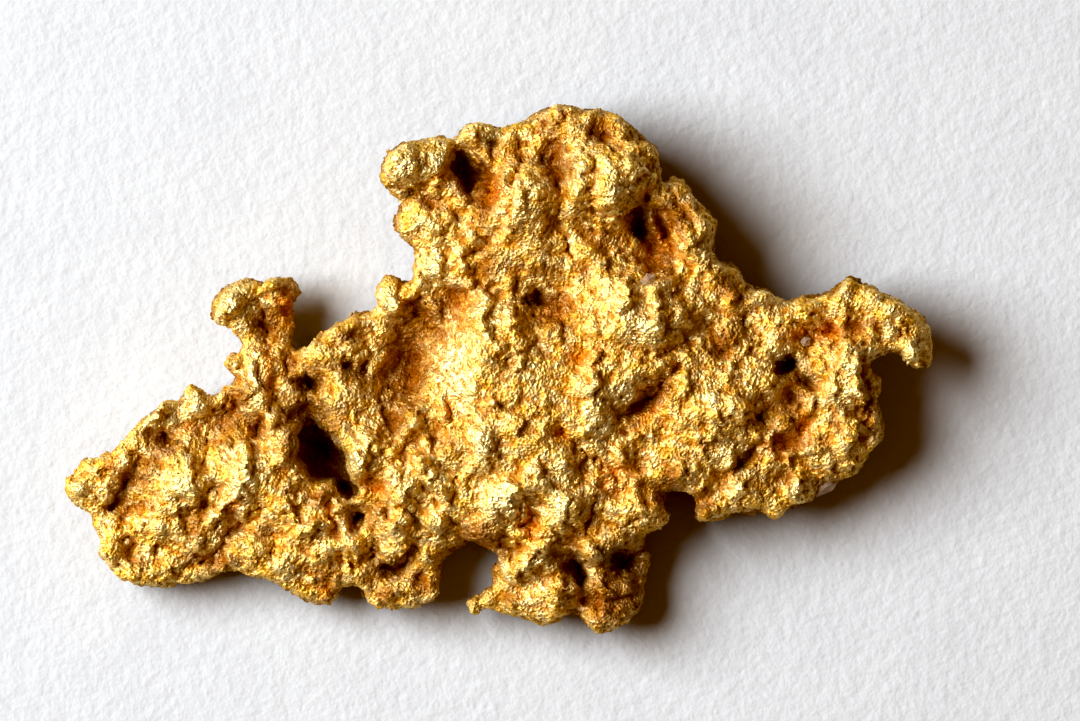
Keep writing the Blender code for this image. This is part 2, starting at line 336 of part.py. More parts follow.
# Broad swells and dips, which lead the slopes between the smaller forms.
SWELLS = [
    ("swell", 424, 188, 26, 18, -30, 0.22), ("swell", 505, 200, 30, 12, 80, -0.22),
    ("swell", 541, 196, 34, 12, 85, 0.25), ("swell", 588, 186, 34, 18, 85, -0.30),
    ("swell", 648, 200, 30, 16, 80, 0.30), ("swell", 460, 266, 30, 15, 75, 0.28),
    ("swell", 440, 345, 44, 18, 80, -0.30), ("swell", 401, 300, 22, 12, 80, 0.22),
    ("swell", 590, 316, 30, 24, 80, -0.28), ("swell", 520, 322, 22, 16, 70, 0.20),
    ("swell", 706, 336, 26, 14, 40, 0.28), ("swell", 748, 350, 26, 14, 60, -0.26),
    ("swell", 789, 372, 22, 10, 70, 0.24), ("swell", 820, 394, 32, 13, 75, -0.24),
    ("swell", 860, 396, 26, 12, 85, 0.20), ("swell", 636, 396, 34, 20, 75, 0.28),
    ("swell", 572, 385, 30, 12, 85, -0.18), ("swell", 695, 462, 30, 14, 80, -0.26),
    ("swell", 748, 464, 26, 15, 70, 0.26), ("swell", 416, 450, 28, 12, 70, -0.24),
    ("swell", 455, 478, 30, 12, 70, 0.20), ("swell", 478, 505, 34, 14, 85, -0.26),
    ("swell", 528, 500, 30, 14, 85, 0.26), ("swell", 582, 492, 32, 14, 85, 0.20),
    ("swell", 180, 432, 32, 12, 55, -0.24), ("swell", 222, 404, 26, 12, 60, 0.26),
    ("swell", 222, 492, 34, 13, 60, -0.26), ("swell", 268, 474, 40, 13, 65, 0.24),
    ("swell", 276, 376, 28, 8, 85, 0.22), ("swell", 258, 308, 22, 8, 80, 0.22),
    ("swell", 866, 330, 20, 9, 60, -0.20), ("swell", 893, 330, 18, 9, 60, 0.20),
    ("swell", 560, 575, 30, 14, 60, 0.22), ("swell", 343, 530, 26, 12, 60, 0.20),
    ("swell", 306, 500, 26, 12, 60, -0.20), ("swell", 620, 560, 18, 14, 80, 0.18),
    ("swell", 136, 500, 26, 12, 60, -0.20), ("swell", 172, 505, 26, 14, 60, 0.20),
    ("swell", 735, 400, 24, 14, 80, 0.18), ("swell", 698, 392, 24, 12, 80, -0.18),
    ("swell", 655, 320, 26, 12, 80, 0.22), ("swell", 514, 300, 22, 12, 70, 0.18),
    ("swell", 446, 280, 22, 9, 70, 0.22), ("swell", 370, 322, 22, 12, 75, -0.20),
    ("swell", 404, 312, 26, 12, 80, 0.20), ("swell", 243, 445, 20, 10, 70, -0.20),
    ("swell", 160, 486, 24, 12, 75, -0.22), ("swell", 243, 528, 24, 10, 70, 0.22),
    ("swell", 181, 533, 20, 10, 80, 0.20), ("swell", 272, 545, 18, 10, 70, -0.15),
    ("swell", 350, 520, 24, 12, 70, 0.20), ("swell", 389, 518, 20, 8, 85, -0.20),
    ("swell", 432, 500, 24, 10, 75, 0.20), ("swell", 468, 444, 20, 9, 85, -0.22),
    ("swell", 519, 365, 14, 7, 85, -0.12), ("swell", 587, 355, 20, 9, 80, -0.16),
    ("swell", 618, 430, 26, 10, 85, 0.20), ("swell", 632, 490, 24, 14, 85, 0.28),
    ("swell", 746, 452, 20, 10, 70, 0.24), ("swell", 762, 392, 20, 9, 70, 0.20),
    ("swell", 785, 352, 14, 6, 80, 0.20), ("swell", 868, 332, 14, 7, 60, -0.20),
    ("swell", 884, 345, 12, 7, 70, 0.20), ("swell", 922, 345, 16, 8, 85, 0.25),
    ("swell", 538, 182, 22, 8, 85, 0.22), ("swell", 590, 180, 26, 12, 85, -0.20),
    ("swell", 642, 205, 26, 10, 85, 0.25), ("swell", 684, 258, 18, 9, 80, -0.22),
    ("swell", 716, 266, 16, 9, 60, 0.22), ("swell", 590, 122, 12, 8, 80, 0.20),
    ("swell", 600, 318, 24, 14, 85, -0.15), ("swell", 656, 320, 26, 12, 80, 0.15),
    ("swell", 515, 562, 26, 10, 70, -0.22), ("swell", 562, 552, 18, 10, 70, 0.22),
    ("swell", 612, 552, 10, 8, 85, 0.20),
]

RELIEF = CROWN_RELIEF + CENTRE_RELIEF + EAST_RELIEF + SOUTH_RELIEF + WEST_RELIEF + SWELLS

# The relief on the underside, in the same words, where a lump hangs down and a pit goes up.
UNDERSIDE_RELIEF = [
    ("lump", 150, 470, 44, 30, 30, 0.35), ("pit", 205, 540, 26, 16, 20, 0.45),
    ("lump", 250, 470, 36, 26, 60, 0.30), ("pit", 300, 500, 30, 18, 40, 0.50),
    ("crease", 9, 0.5, [(225, 430), (262, 452), (300, 446)]), ("lump", 350, 410, 40, 30, 20, 0.30),
    ("pit", 392, 470, 30, 22, -30, 0.50), ("lump", 440, 350, 36, 26, 0, 0.30),
    ("crease", 9, 0.5, [(430, 430), (470, 452), (486, 500)]), ("pit", 560, 330, 34, 22, 15, 0.50),
    ("lump", 610, 400, 44, 30, -20, 0.30), ("pit", 560, 470, 26, 20, 30, 0.45),
    ("lump", 470, 210, 40, 26, 50, 0.35), ("pit", 520, 250, 26, 18, 0, 0.45),
    ("lump", 620, 190, 40, 30, 70, 0.35), ("pit", 640, 250, 24, 16, 20, 0.45),
    ("crease", 9, 0.5, [(660, 320), (690, 350), (690, 390)]), ("lump", 750, 350, 40, 24, 30, 0.30),
    ("pit", 700, 455, 30, 18, 10, 0.45), ("lump", 830, 420, 36, 26, 80, 0.30),
    ("pit", 790, 400, 18, 14, 0, 0.40), ("lump", 530, 575, 30, 20, 60, 0.25),
    ("pit", 610, 540, 20, 16, 0, 0.40), ("lump", 380, 560, 26, 20, 0, 0.25),
]

# Worn feet on the underside, which the nugget rests on: x, y, radius.
FEET = [(176, 500, 30), (562, 196, 32), (500, 402, 34), (752, 420, 32), (556, 552, 26), (330, 430, 26)]
FOOT_LEVEL = -0.25

# Quartz grains lodged in the gold: name, x, y, how deep the middle sits, the half axes in mm, seed.
GRAINS = [
    ("quartz_grain_saddle", 648, 279, 0.05, (0.42, 0.30, 0.34), 4),
    ("quartz_grain_fork", 806, 340, 0.05, (0.26, 0.24, 0.30), 9),
    ("quartz_sliver_east", 826, 486, 0.10, (0.70, 0.30, 0.34), 2),
]
GRAIN_TURN = 32
GRAIN_UNEVENNESS, GRAIN_LUMPS = 0.16, 1.7    # how uneven a grain is, and how many lumps it has across
GRAIN_GAP = 0.05 * MM


def at(x, y, height_mm=0.0):
    """A grid place and a height as a point in metres, with the origin under the middle of the rim."""
    middle_x, middle_y = (RIM_WEST_X + RIM_EAST_X) / 2, (RIM_NORTH_Y + RIM_SOUTH_Y) / 2
    return Vector(((x - middle_x) * PIXEL, (middle_y - y) * PIXEL, height_mm * MM))


def to_grid(points):
    """Metres in the plan, as an array, turned back into grid places."""
    middle = np.array([(RIM_WEST_X + RIM_EAST_X) / 2, (RIM_NORTH_Y + RIM_SOUTH_Y) / 2])
    return points[:, :2] / PIXEL * np.array([1.0, -1.0]) + middle


def clear_scene():
    for found in list(bpy.data.objects):
        bpy.data.objects.remove(found)


def material(name, colour, metallic, roughness, transmission=0.0):
    made = bpy.data.materials.new(name)
    made.use_nodes = True
    shader = made.node_tree.nodes["Principled BSDF"]
    shader.inputs["Base Color"].default_value = colour
    shader.inputs["Metallic"].default_value = metallic
    shader.inputs["Roughness"].default_value = roughness
    shader.inputs["Transmission Weight"].default_value = transmission
    return made


def add_object(name, mesh):
    made = bpy.data.objects.new(name, mesh)
    bpy.context.scene.collection.objects.link(made)
    return made


def bake_modifiers(thing):
    """Gives the object the mesh that its modifiers make, and clears them."""
    graph = bpy.context.evaluated_depsgraph_get()
    mesh = bpy.data.meshes.new_from_object(thing.evaluated_get(graph))
    thing.modifiers.clear()
    thing.data = mesh


def remesh(thing, size):
    modifier = thing.modifiers.new("Even out", "REMESH")
    modifier.mode = "VOXEL"
    modifier.voxel_size = size
    bake_modifiers(thing)


def vertex_array(mesh):
    flat = np.empty(len(mesh.vertices) * 3)
    mesh.vertices.foreach_get("co", flat)
    return flat.reshape(-1, 3)


def rim_curve():
    """The rim as a closed smooth curve through its points, in grid places."""
    points = np.array(RIM, float)
    before, after = np.roll(points, 1, axis=0), np.roll(points, -1, axis=0)
    beyond = np.roll(points, -2, axis=0)
    curve = []
    for step in range(CURVE_STEPS):
        t = step / CURVE_STEPS
        curve.append(
            0.5 * (2 * points + (after - before) * t
                   + (2 * before - 5 * points + 4 * after - beyond) * t ** 2
                   + (3 * points - before - 3 * after + beyond) * t ** 3)
        )
    return np.stack(curve, axis=1).reshape(-1, 2)


def distance_to_line(places, line, closed=False):
    """How far each grid place is from a run of straight pieces."""
    ends = np.roll(line, -1, axis=0) if closed else line[1:]
    starts = line if closed else line[:-1]
    nearest = np.full(len(places), np.inf)
    for start, end in zip(starts, ends):
        run = end - start
        share = np.clip((places - start) @ run / max(run @ run, 1e-9), 0, 1)
        gap = np.linalg.norm(places - start - share[:, None] * run, axis=1)
        nearest = np.minimum(nearest, gap)
    return nearest


def turned(places, x, y, turn):
    """How far along and aside of a turned axis each place lies, from the axis's middle."""
    angle = math.radians(turn)
    across, down = places[:, 0] - x, places[:, 1] - y
    along = across * math.cos(angle) - down * math.sin(angle)
    aside = across * math.sin(angle) + down * math.cos(angle)
    return along, aside


def lump(places, x, y, half_length, half_width, turn, height):
    """A dome with steep sides."""
    along, aside = turned(places, x, y, turn)
    squared = (along / half_length) ** 2 + (aside / half_width) ** 2
    return height * np.clip(1 - squared, 0, None) ** 0.8


def pit(places, x, y, half_length, half_width, turn, depth):
    """A hollow with steep walls and a broad floor."""
    along, aside = turned(places, x, y, turn)
    squared = (along / half_length) ** 2 + (aside / half_width) ** 2
    return -depth * np.clip(1 - squared ** 1.5, 0, None)


def shaft(places, x, y, half_length, half_width, turn, depth):
    """A hole with a flat floor and walls that are nearly upright."""
    along, aside = turned(places, x, y, turn)
    squared = (along / half_length) ** 2 + (aside / half_width) ** 2
    return -depth * np.clip(3 * (1 - squared), 0, 1)


def swell(places, x, y, half_length, half_width, turn, height):
    """A soft hill, or a soft dip where the height is negative."""
    along, aside = turned(places, x, y, turn)
    return height * np.exp(-(along / half_length) ** 2 - (aside / half_width) ** 2)


def ledge(places, x, y, half_length, half_width, turn, height):
    """A face that rises the way it is turned, and breaks off at its high end."""
    along, aside = turned(places, x, y, turn)
    along, aside = along / half_length, aside / half_width
    inside = (np.abs(along) < 1) * np.sqrt(np.clip(1 - aside ** 2, 0, None))
    return height * inside * (along + 1) / 2


def ridge(places, half_width, height, run):
    gap = distance_to_line(places, np.array(run, float))
    return height * np.clip(1 - gap / half_width, 0, None)


def crease(places, half_width, depth, run):
    return -ridge(places, half_width, depth, run)


FORMS = {
    "lump": lump, "pit": pit, "shaft": shaft, "swell": swell,
    "ledge": ledge, "ridge": ridge, "crease": crease,
}


def read_heights(places):
    """Top and underside over each place, smoothed between the height readings."""
    total = np.full(len(places), 1e-12)
    top, underside = np.zeros(len(places)), np.zeros(len(places))
    for x, y, high, low in HEIGHTS:
        squared = ((places - (x, y)) ** 2).sum(axis=1)
        weight = np.exp(-squared / (2 * HEIGHT_REACH ** 2)) + 1e-6 / (1 + squared)
        total += weight
        top += weight * high
        underside += weight * low
    return top / total, underside / total


def wandered(places):
    """The grid places moved about by a slow noise, so that no oval stays an oval."""
    moved = []
    for x, y in places:
        place = Vector((x, y, 0))
        shift = WANDER * noise.noise_vector(place / WANDER_WAVE)
        shift += FRAY * noise.noise_vector(place / FRAY_WAVE)
        moved.append((x + shift.x, y + shift.y))
    return np.array(moved)


def top_relief(places):
    return sum(FORMS[form](places, *sizes) for form, *sizes in RELIEF)


def lower_underside(places, underside):
    """The underside with its own relief, pulled down to the feet."""
    lowered = underside - sum(FORMS[form](places, *sizes) for form, *sizes in UNDERSIDE_RELIEF)
    for x, y, radius in FEET:
        share = lump(wandered(places), x, y, radius, radius, 0, 1.0)
        lowered = lowered * (1 - share) + FOOT_LEVEL * share
    return lowered


def edge_share(edge_gap, reach, at_rim):
    """How much of the full height is left at a distance from the rim: a quarter circle on a low step."""
    inward = np.clip(edge_gap / reach, 0, 1)
    return at_rim + (1 - at_rim) * np.sqrt(1 - (1 - inward) ** 2)


def shape_slab(thing):
    """Moves the flat slab's points up and down until its two faces follow the relief."""
    points = vertex_array(thing.data)
    places = to_grid(points)
    edge_gap = distance_to_line(places, rim_curve(), closed=True)
    top, underside = read_heights(places)
    rim = underside + RIM_HEIGHT * (top - underside)
    raised = top + top_relief(wandered(places))
    top_face = rim + (raised - rim) * edge_share(edge_gap, TOP_EDGE, TOP_EDGE_HEIGHT)
    lowered = lower_underside(places, underside)
    low_face = rim - (rim - lowered) * edge_share(edge_gap, LOW_EDGE, LOW_EDGE_HEIGHT)
    top_face = np.maximum(top_face, low_face + LEAST_THICKNESS)
    share = np.clip(points[:, 2] / SLAB_THICKNESS, 0, 1)
    points[:, 2] = (low_face + share * (top_face - low_face)) * MM
    thing.data.vertices.foreach_set("co", points.ravel())
    thing.data.update()


def crumbs(place, wave):
    """Rounded bumps with sharp creases between them, about a wave apart: from -0.6 up to 0.4."""
    distances, _ = noise.voronoi(place / wave)
    return 0.4 - min(distances[0], 1.0)


def roughen(thing):
    """Pushes each point out or in along its normal, in lumps, in crumbs and in specks."""
    mesh = thing.data
    moved = []
    for vertex in mesh.vertices:
        place = vertex.co
        bent = place + BEND * noise.noise_vector(place / BEND_WAVE)
        shift = LUMP_HEIGHT * noise.noise(place / LUMP_WAVE)
        shift += CRUMB_HEIGHT * crumbs(bent, CRUMB_WAVE)
        shift += SPECK_HEIGHT * crumbs(bent, SPECK_WAVE)
        if vertex.normal.z < UNDERSIDE_BELOW:
            shift *= UNDERSIDE_ROUGHNESS
        elif vertex.normal.z < SIDE_BELOW:
            shift *= SIDE_ROUGHNESS
        moved.append(place + vertex.normal * shift)
    for vertex, place in zip(mesh.vertices, moved):
        vertex.co = place
    mesh.update()


def keep_largest_body(thing):
    """Removes the specks that remeshing can leave beside the main body."""
    shape = bmesh.new()
    shape.from_mesh(thing.data)
    left = set(shape.verts)
    bodies = []
    while left:
        front = [left.pop()]
        body = set(front)
        while front:
            for edge in front.pop().link_edges:
                for vertex in edge.verts:
                    if vertex not in body:
                        body.add(vertex)
                        front.append(vertex)
        left -= body
        bodies.append(body)
    bodies.sort(key=len)
    for body in bodies[:-1]:
        bmesh.ops.delete(shape, geom=list(body), context="VERTS")
    shape.to_mesh(thing.data)
    shape.free()


def make_slab():
    """A flat plate of the rim's outline."""
    shape = bmesh.new()
    corners = [shape.verts.new(at(x, y)) for x, y in reversed(rim_curve())]
    face = shape.faces.new(corners)
    lifted = bmesh.ops.extrude_face_region(shape, geom=[face])
    top = [item for item in lifted["geom"] if isinstance(item, bmesh.types.BMVert)]
    bmesh.ops.translate(shape, verts=top, vec=Vector((0, 0, SLAB_THICKNESS)))
    bmesh.ops.triangulate(shape, faces=shape.faces[:])
    bmesh.ops.recalc_face_normals(shape, faces=shape.faces[:])
    mesh = bpy.data.meshes.new("nugget")
    shape.to_mesh(mesh)
    shape.free()
    return add_object("nugget", mesh)


def grain_mesh(name, half_axes, seed, grow):
    """A blunt crystal fragment: a coarse ball with uneven corners, pulled out to its half axes."""
    shape = bmesh.new()
    bmesh.ops.create_icosphere(shape, subdivisions=1, radius=1.0)
    for vertex in shape.verts:
        uneven = 1 + GRAIN_UNEVENNESS * noise.noise(vertex.co * GRAIN_LUMPS + Vector((seed, 0, 0)))
        vertex.co = Vector([c * uneven * (half * MM + grow) for c, half in zip(vertex.co, half_axes)])
    mesh = bpy.data.meshes.new(name)
    shape.to_mesh(mesh)
    shape.free()
    return mesh


def make_cutter(name, mesh):
    cutter = add_object(name, mesh)
    cutter.hide_render = True
    cutter.display_type = "WIRE"
    return cutter


def cut_away(thing, cutter):
    modifier = thing.modifiers.new("Cut " + cutter.name, "BOOLEAN")
    modifier.operation = "DIFFERENCE"
    modifier.object = cutter


def make_grains(nugget, finish):
    """Each quartz grain, and the pocket in the gold that holds it."""
    surface = BVHTree.FromObject(nugget, bpy.context.evaluated_depsgraph_get())
    for name, x, y, sunk, half_axes, seed in GRAINS:
        touched = surface.ray_cast(at(x, y, 10), Vector((0, 0, -1)))[0]
        middle = touched - Vector((0, 0, sunk * MM))
        place = Matrix.Translation(middle) @ Matrix.Rotation(math.radians(GRAIN_TURN), 4, "Z")
        grain = add_object(name, grain_mesh(name, half_axes, seed, 0.0))
        grain.matrix_world = place
        grain.data.materials.append(finish)
        pocket = make_cutter("pocket_of_" + name, grain_mesh(name + "_pocket", half_axes, seed, GRAIN_GAP))
        pocket.matrix_world = place
        cut_away(nugget, pocket)


def make_table_cutter():
    """The space under the table, which cuts the worn feet off flat."""
    shape = bmesh.new()
    bmesh.ops.create_cube(shape, size=1.0)
    bmesh.ops.scale(shape, verts=shape.verts, vec=Vector((2 * LENGTH, 2 * LENGTH, 2 * MM)))
    bmesh.ops.translate(shape, verts=shape.verts, vec=Vector((0, 0, -1 * MM)))
    mesh = bpy.data.meshes.new("under_the_table")
    shape.to_mesh(mesh)
    shape.free()
    return make_cutter("under_the_table", mesh)


def make_nugget(gold):
    nugget = make_slab()
    remesh(nugget, VOXEL)
    shape_slab(nugget)
    remesh(nugget, VOXEL)
    roughen(nugget)
    remesh(nugget, VOXEL)
    keep_largest_body(nugget)
    fewer = nugget.modifiers.new("Fewer faces", "DECIMATE")
    fewer.ratio = TRIANGLE_BUDGET / (2 * len(nugget.data.polygons))
    bake_modifiers(nugget)
    keep_largest_body(nugget)
    nugget.data.materials.clear()
    nugget.data.materials.append(gold)
    cut_away(nugget, make_table_cutter())
    return nugget


def centre_on_origin(nugget):
    """Moves everything so that the middle of the nugget's plan is over the origin."""
    points = vertex_array(nugget.data)
    middle = (points.min(axis=0) + points.max(axis=0)) / 2
    for thing in bpy.data.objects:
        thing.matrix_world = Matrix.Translation((-middle[0], -middle[1], 0)) @ thing.matrix_world


def main():
    clear_scene()
    noise.seed_set(NOISE_SEED)
    gold = material("native gold", GOLD, metallic=1.0, roughness=0.32)
    quartz = material("quartz", QUARTZ, metallic=0.0, roughness=0.15, transmission=0.8)
    nugget = make_nugget(gold)
    make_grains(nugget, quartz)
    centre_on_origin(nugget)


main()
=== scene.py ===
"""Gold nugget on pale paper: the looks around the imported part.

Plan places are grid places, as on a 1080 x 721 sheet seen from straight above: x to the right, y down.
"""

import math

import bmesh
import bpy
import numpy as np
from bpy.props import FloatProperty, FloatVectorProperty, IntProperty, PointerProperty
from mathutils import Matrix, Vector, noise
from mathutils.kdtree import KDTree


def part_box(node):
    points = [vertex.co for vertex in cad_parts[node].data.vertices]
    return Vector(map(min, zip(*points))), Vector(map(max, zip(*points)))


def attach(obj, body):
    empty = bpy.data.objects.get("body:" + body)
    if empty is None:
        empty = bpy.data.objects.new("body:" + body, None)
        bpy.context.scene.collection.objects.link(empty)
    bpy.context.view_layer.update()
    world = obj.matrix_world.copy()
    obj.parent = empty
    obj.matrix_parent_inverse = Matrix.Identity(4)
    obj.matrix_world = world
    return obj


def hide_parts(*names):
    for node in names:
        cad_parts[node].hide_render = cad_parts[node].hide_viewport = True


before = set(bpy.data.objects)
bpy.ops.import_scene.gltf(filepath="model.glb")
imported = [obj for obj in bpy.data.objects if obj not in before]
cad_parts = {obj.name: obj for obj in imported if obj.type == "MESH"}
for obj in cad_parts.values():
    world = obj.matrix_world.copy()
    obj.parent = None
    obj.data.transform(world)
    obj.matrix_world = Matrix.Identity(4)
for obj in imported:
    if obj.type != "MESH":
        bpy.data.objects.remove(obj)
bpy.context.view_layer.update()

bl_info = {
    "name": "Gold nugget",
    "version": (1, 0, 0),
    "blender": (4, 5, 0),
    "location": "3D View > Sidebar > Gold nugget",
    "description": "Dresses a packed gold nugget in crumpled gold and quartz, on a sheet of paper",
    "category": "Object",
}

NUGGET_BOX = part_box("nugget")
SHEET_WIDTH, SHEET_HEIGHT = 1080, 721
BOX_WEST_X, BOX_EAST_X = 63.9, 932.5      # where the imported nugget's box stands on the sheet
BOX_NORTH_Y, BOX_SOUTH_Y = 102.5, 632.0
VIEW_MIDDLE = (540, 358.5)                # the grid place that the camera looks at
PIXEL = (NUGGET_BOX[1].x - NUGGET_BOX[0].x) / (BOX_EAST_X - BOX_WEST_X)
MM = 0.001

# How the gold's fine relief is made: the size of each pattern and its depth, in metres.
EASE_ROUNDS, EASE_SHARE = 5, 0.5
RELIEF_ROUNDS = 60
RELIEF_GAIN, HOLE_GAIN = -0.05, 0.35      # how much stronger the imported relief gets, and the deep holes
PLATE_WAVE, PLATE_DEPTH = 0.95 * MM, 0.12 * MM
BEND_WAVE, BEND = 0.50 * MM, 0.08 * MM
FOIL_WAVE, FOIL_DEPTH = 0.42 * MM, 0.085 * MM
FLAKE_WAVE, FLAKE_DEPTH = 0.24 * MM, 0.055 * MM
CRUMB_WAVE, CRUMB_DEPTH = 0.15 * MM, 0.045 * MM
FLAKE_TURN, FLAKE_STRETCH = 62, 2.0       # in the west the flakes lean this many degrees and run longer
GRANULAR_X = (470, 640)                   # grid places between which the long flakes give way to crumbs
CRUMB_TOP, CRUMB_FALL = 0.6, 1.2          # height of a crumb's middle, and its fall to the border
TILT_KEY, LIFT_KEY = 911.0, 577.0         # any two numbers: they tell the plates' tilts and lifts apart
LIFT_SHARE = 0.35                         # how much neighbouring plates differ in height, to their tilt
SEAM_WIDTH, SEAM_DEPTH = 0.12, 0.25       # of a plate's size: the groove between two plates
UNDERSIDE_SHARE = 0.9                     # of the fine relief, on what faces down
KNEE_SHARE = 0.93                         # of the box's height, above which tops are eased down
FRAY_WAVE, FRAY = 12, 10                  # grid steps: the edges of the fine forms fray
RUBBED_SHARE = 0.10                       # of the fine pattern is worn away where the gold is rubbed
FACES_DOWN = -0.3                         # a normal that points up less than this faces down
OVAL_FADE = 1.5                           # how far a soft oval has faded at its half length and width

HOLLOW_ROUNDS, HOLLOW_DEPTH = 6, 0.05 * MM
ROOF_CELL, ROOF_REACH = 5.0, 6            # grid steps, and cells, of the roof that depths are read from

# The gold's looks: each colour's share, and the depths in millimetres where it starts and ends.
MOTTLE_WAVE, MOTTLE_DETAIL = 0.5 * MM, 3.0
COMMON, WIDELY_COMMON = (0.35, 0.65), (0.3, 0.7)    # where most of a noise's values lie
HOLLOW_FULL = 0.8                               # hollows this deep or deeper take the full painted shade
# Shares of the painted highlight on worn places, and of painted shade in hollows, patches, low places, deep
# holes and grain pores.
PAINTED_HIGHLIGHT_MIX, HOLLOW_SHADE_MIX, ORANGE_SHADE_MIX, UMBER_SHADE_MIX = 0.8, 0.6, 0.85, 0.8
LOW_SHADE_DEPTHS, LOW_SHADE_MIX = (0.15, 1.0), 0.6
DEEP_SHADE_DEPTHS, DEEP_SHADE_MIX, HOLE_SHADE_MIX = (0.7, 2.2), 0.6, 0.95
PORE_HEIGHTS, PORE_SHADE_MIX = (0.40, 0.10), 0.55     # low places of the grain, darkened with brown: painted shade
DULL_WAVE, DULL_SWING = 0.25 * MM, 0.08         # how the roughness varies
HOLLOW_DULLS, RUBBED_SHINES = 0.1, 0.10
GRAIN_WAVE, GRAIN_DEPTH = 0.13 * MM, 0.06 * MM
STREAK_WAVE, STREAK_STRETCH, STREAK_SHARE = 0.18 * MM, 3.0, 0.6
SPECK_WAVE, SPECK_SHARPNESS, SPECK_SHARE = 0.07 * MM, 0.6, 0.3

# The quartz's looks.
CLOUD_WAVE, QUARTZ_CLEARNESS, QUARTZ_ROUGHNESS = 0.3 * MM, 0.65, (0.06, 0.3)
QUARTZ_TOOTH_WAVE, QUARTZ_TOOTH_SHARPNESS = 0.15 * MM, 0.8
QUARTZ_TOOTH_DEPTH, QUARTZ_BUMP = 0.02 * MM, 0.4

# The paper's looks, and the camera's film.
PAPER_HALF = 0.5
PAPER_MOTTLE_WAVE, PAPER_ROUGHNESS, PAPER_SHINE, PAPER_BUMP = 3 * MM, 0.9, 0.2, 0.5
WIDE_TOOTH_WAVE, WIDE_TOOTH_SHARPNESS = 0.55 * MM, 0.1
FINE_TOOTH_WAVE, FINE_TOOTH_SHARPNESS, FINE_TOOTH_SHARE = 0.22 * MM, 0.2, 0.4
FILM_WIDTH = 36

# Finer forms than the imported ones, in grid steps and millimetres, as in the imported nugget's own relief.
# A form has a place, a half length, a half width, a turn in degrees anticlockwise and a height or depth.
# A crease or ridge has a half width and a height, and runs through its places.
CROWN_FINE = [
    ("crease", 3, 0.35, [(557, 138), (554, 160), (560, 186), (556, 212), (560, 236), (567, 252)]),
    ("crease", 3, 0.30, [(440, 236), (455, 217), (467, 206)]),
    ("crease", 3, 0.30, [(452, 262), (470, 257), (487, 238)]),
    ("crease", 3, 0.25, [(402, 190), (420, 181), (446, 179)]),
    ("crease", 3, 0.3, [(520, 166), (511, 196), (499, 228)]), ("ledge", 403, 168, 14, 20, 10, 0.25),
    ("ledge", 578, 160, 8, 40, 0, 0.30), ("ledge", 607, 190, 10, 14, -20, 0.30),
    ("crease", 3, 0.3, [(590, 200), (598, 222), (590, 238)]),
    ("crease", 3, 0.4, [(640, 172), (646, 194), (640, 216)]),
    ("ridge", 3, 0.4, [(652, 216), (660, 236), (668, 254)]),
    ("ridge", 3, 0.4, [(664, 214), (672, 232), (682, 250)]), ("pit", 538, 300, 18, 4, 0, 0.5),
    ("crease", 3, 0.35, [(512, 304), (530, 298), (566, 298)]), ("ledge", 428, 226, 12, 14, 10, 0.25),
    ("ledge", 432, 266, 12, 18, 0, 0.30), ("ledge", 500, 205, 9, 30, -5, 0.30),
    ("crease", 3, 0.3, [(586, 138), (602, 136), (620, 141)]), ("pit", 557, 120, 9, 8, 0, 0.25),
    ("crease", 3, 0.3, [(672, 196), (688, 212), (701, 233)]), ("ledge", 640, 158, 8, 18, -10, 0.25),
]
CENTRE_FINE = [
    ("ledge", 478, 310, 10, 20, -10, 0.30), ("ledge", 506, 312, 9, 15, 0, 0.30),
    ("ledge", 473, 442, 10, 16, 30, 0.30),
    ("crease", 3, 0.3, [(558, 428), (575, 440), (584, 456), (578, 482)]),
    ("ledge", 590, 398, 7, 30, 15, 0.25),
    ("crease", 4, 0.4, [(676, 364), (656, 390), (636, 407), (612, 419)]),
    ("pit", 513, 362, 5, 8, 0, 0.30), ("pit", 497, 387, 5, 5, 0, 0.2), ("pit", 522, 400, 5, 5, 0, 0.2),
    ("ledge", 503, 488, 13, 17, -30, 0.30), ("ledge", 553, 508, 11, 18, -10, 0.35),
    ("pit", 530, 518, 12, 9, 20, 0.4), ("crease", 3, 0.4, [(590, 502), (588, 532)]),
    ("crease", 3, 0.3, [(590, 455), (612, 466), (640, 470)]), ("pit", 624, 431, 11, 3, 0, 0.3),
    ("crease", 3, 0.3, [(640, 357), (672, 347), (702, 335), (718, 325)]),
    ("ledge", 614, 292, 14, 22, -10, 0.3), ("crease", 3, 0.3, [(434, 440), (443, 466), (466, 487)]),
    ("ridge", 4, 0.3, [(416, 452), (434, 476), (450, 500)]),
    ("crease", 3, 0.35, [(406, 458), (424, 482), (444, 508), (458, 528)]),
    ("ledge", 404, 476, 12, 26, -35, 0.3), ("ridge", 4, 0.3, [(391, 450), (404, 432), (420, 410)]),
    ("ledge", 648, 330, 14, 14, 0, 0.3),
]
EAST_FINE = [
    ("crease", 3, 0.4, [(704, 320), (716, 334), (724, 352)]), ("pit", 745, 322, 4, 9, 0, 0.4),
    ("pit", 790, 361, 9, 8, 0, 0.5), ("crease", 3, 0.4, [(796, 368), (804, 378), (813, 389)]),
    ("crease", 3, 0.35, [(762, 436), (752, 448), (738, 460), (724, 472)]),
    ("ledge", 738, 487, 6, 12, -10, 0.3), ("ledge", 796, 484, 7, 12, -10, 0.3),
    ("ledge", 846, 372, 12, 30, 0, 0.35), ("ledge", 828, 384, 8, 20, 0, 0.3),
    ("ridge", 3, 0.3, [(800, 404), (782, 428), (762, 446)]), ("pit", 792, 396, 9, 5, 10, 0.35),
    ("crease", 3, 0.3, [(808, 402), (803, 416), (806, 432)]),
    ("crease", 3, 0.3, [(758, 404), (760, 418), (756, 432)]), ("ledge", 840, 428, 12, 18, -20, 0.3),
    ("crease", 3, 0.3, [(862, 366), (872, 392), (866, 420)]),
    ("crease", 3, 0.3, [(784, 322), (806, 328), (824, 344)]), ("pit", 832, 331, 12, 7, 15, 0.3),
    ("ridge", 4, 0.3, [(846, 350), (860, 344), (872, 330)]), ("pit", 902, 330, 7, 4, 0, 0.3),
]
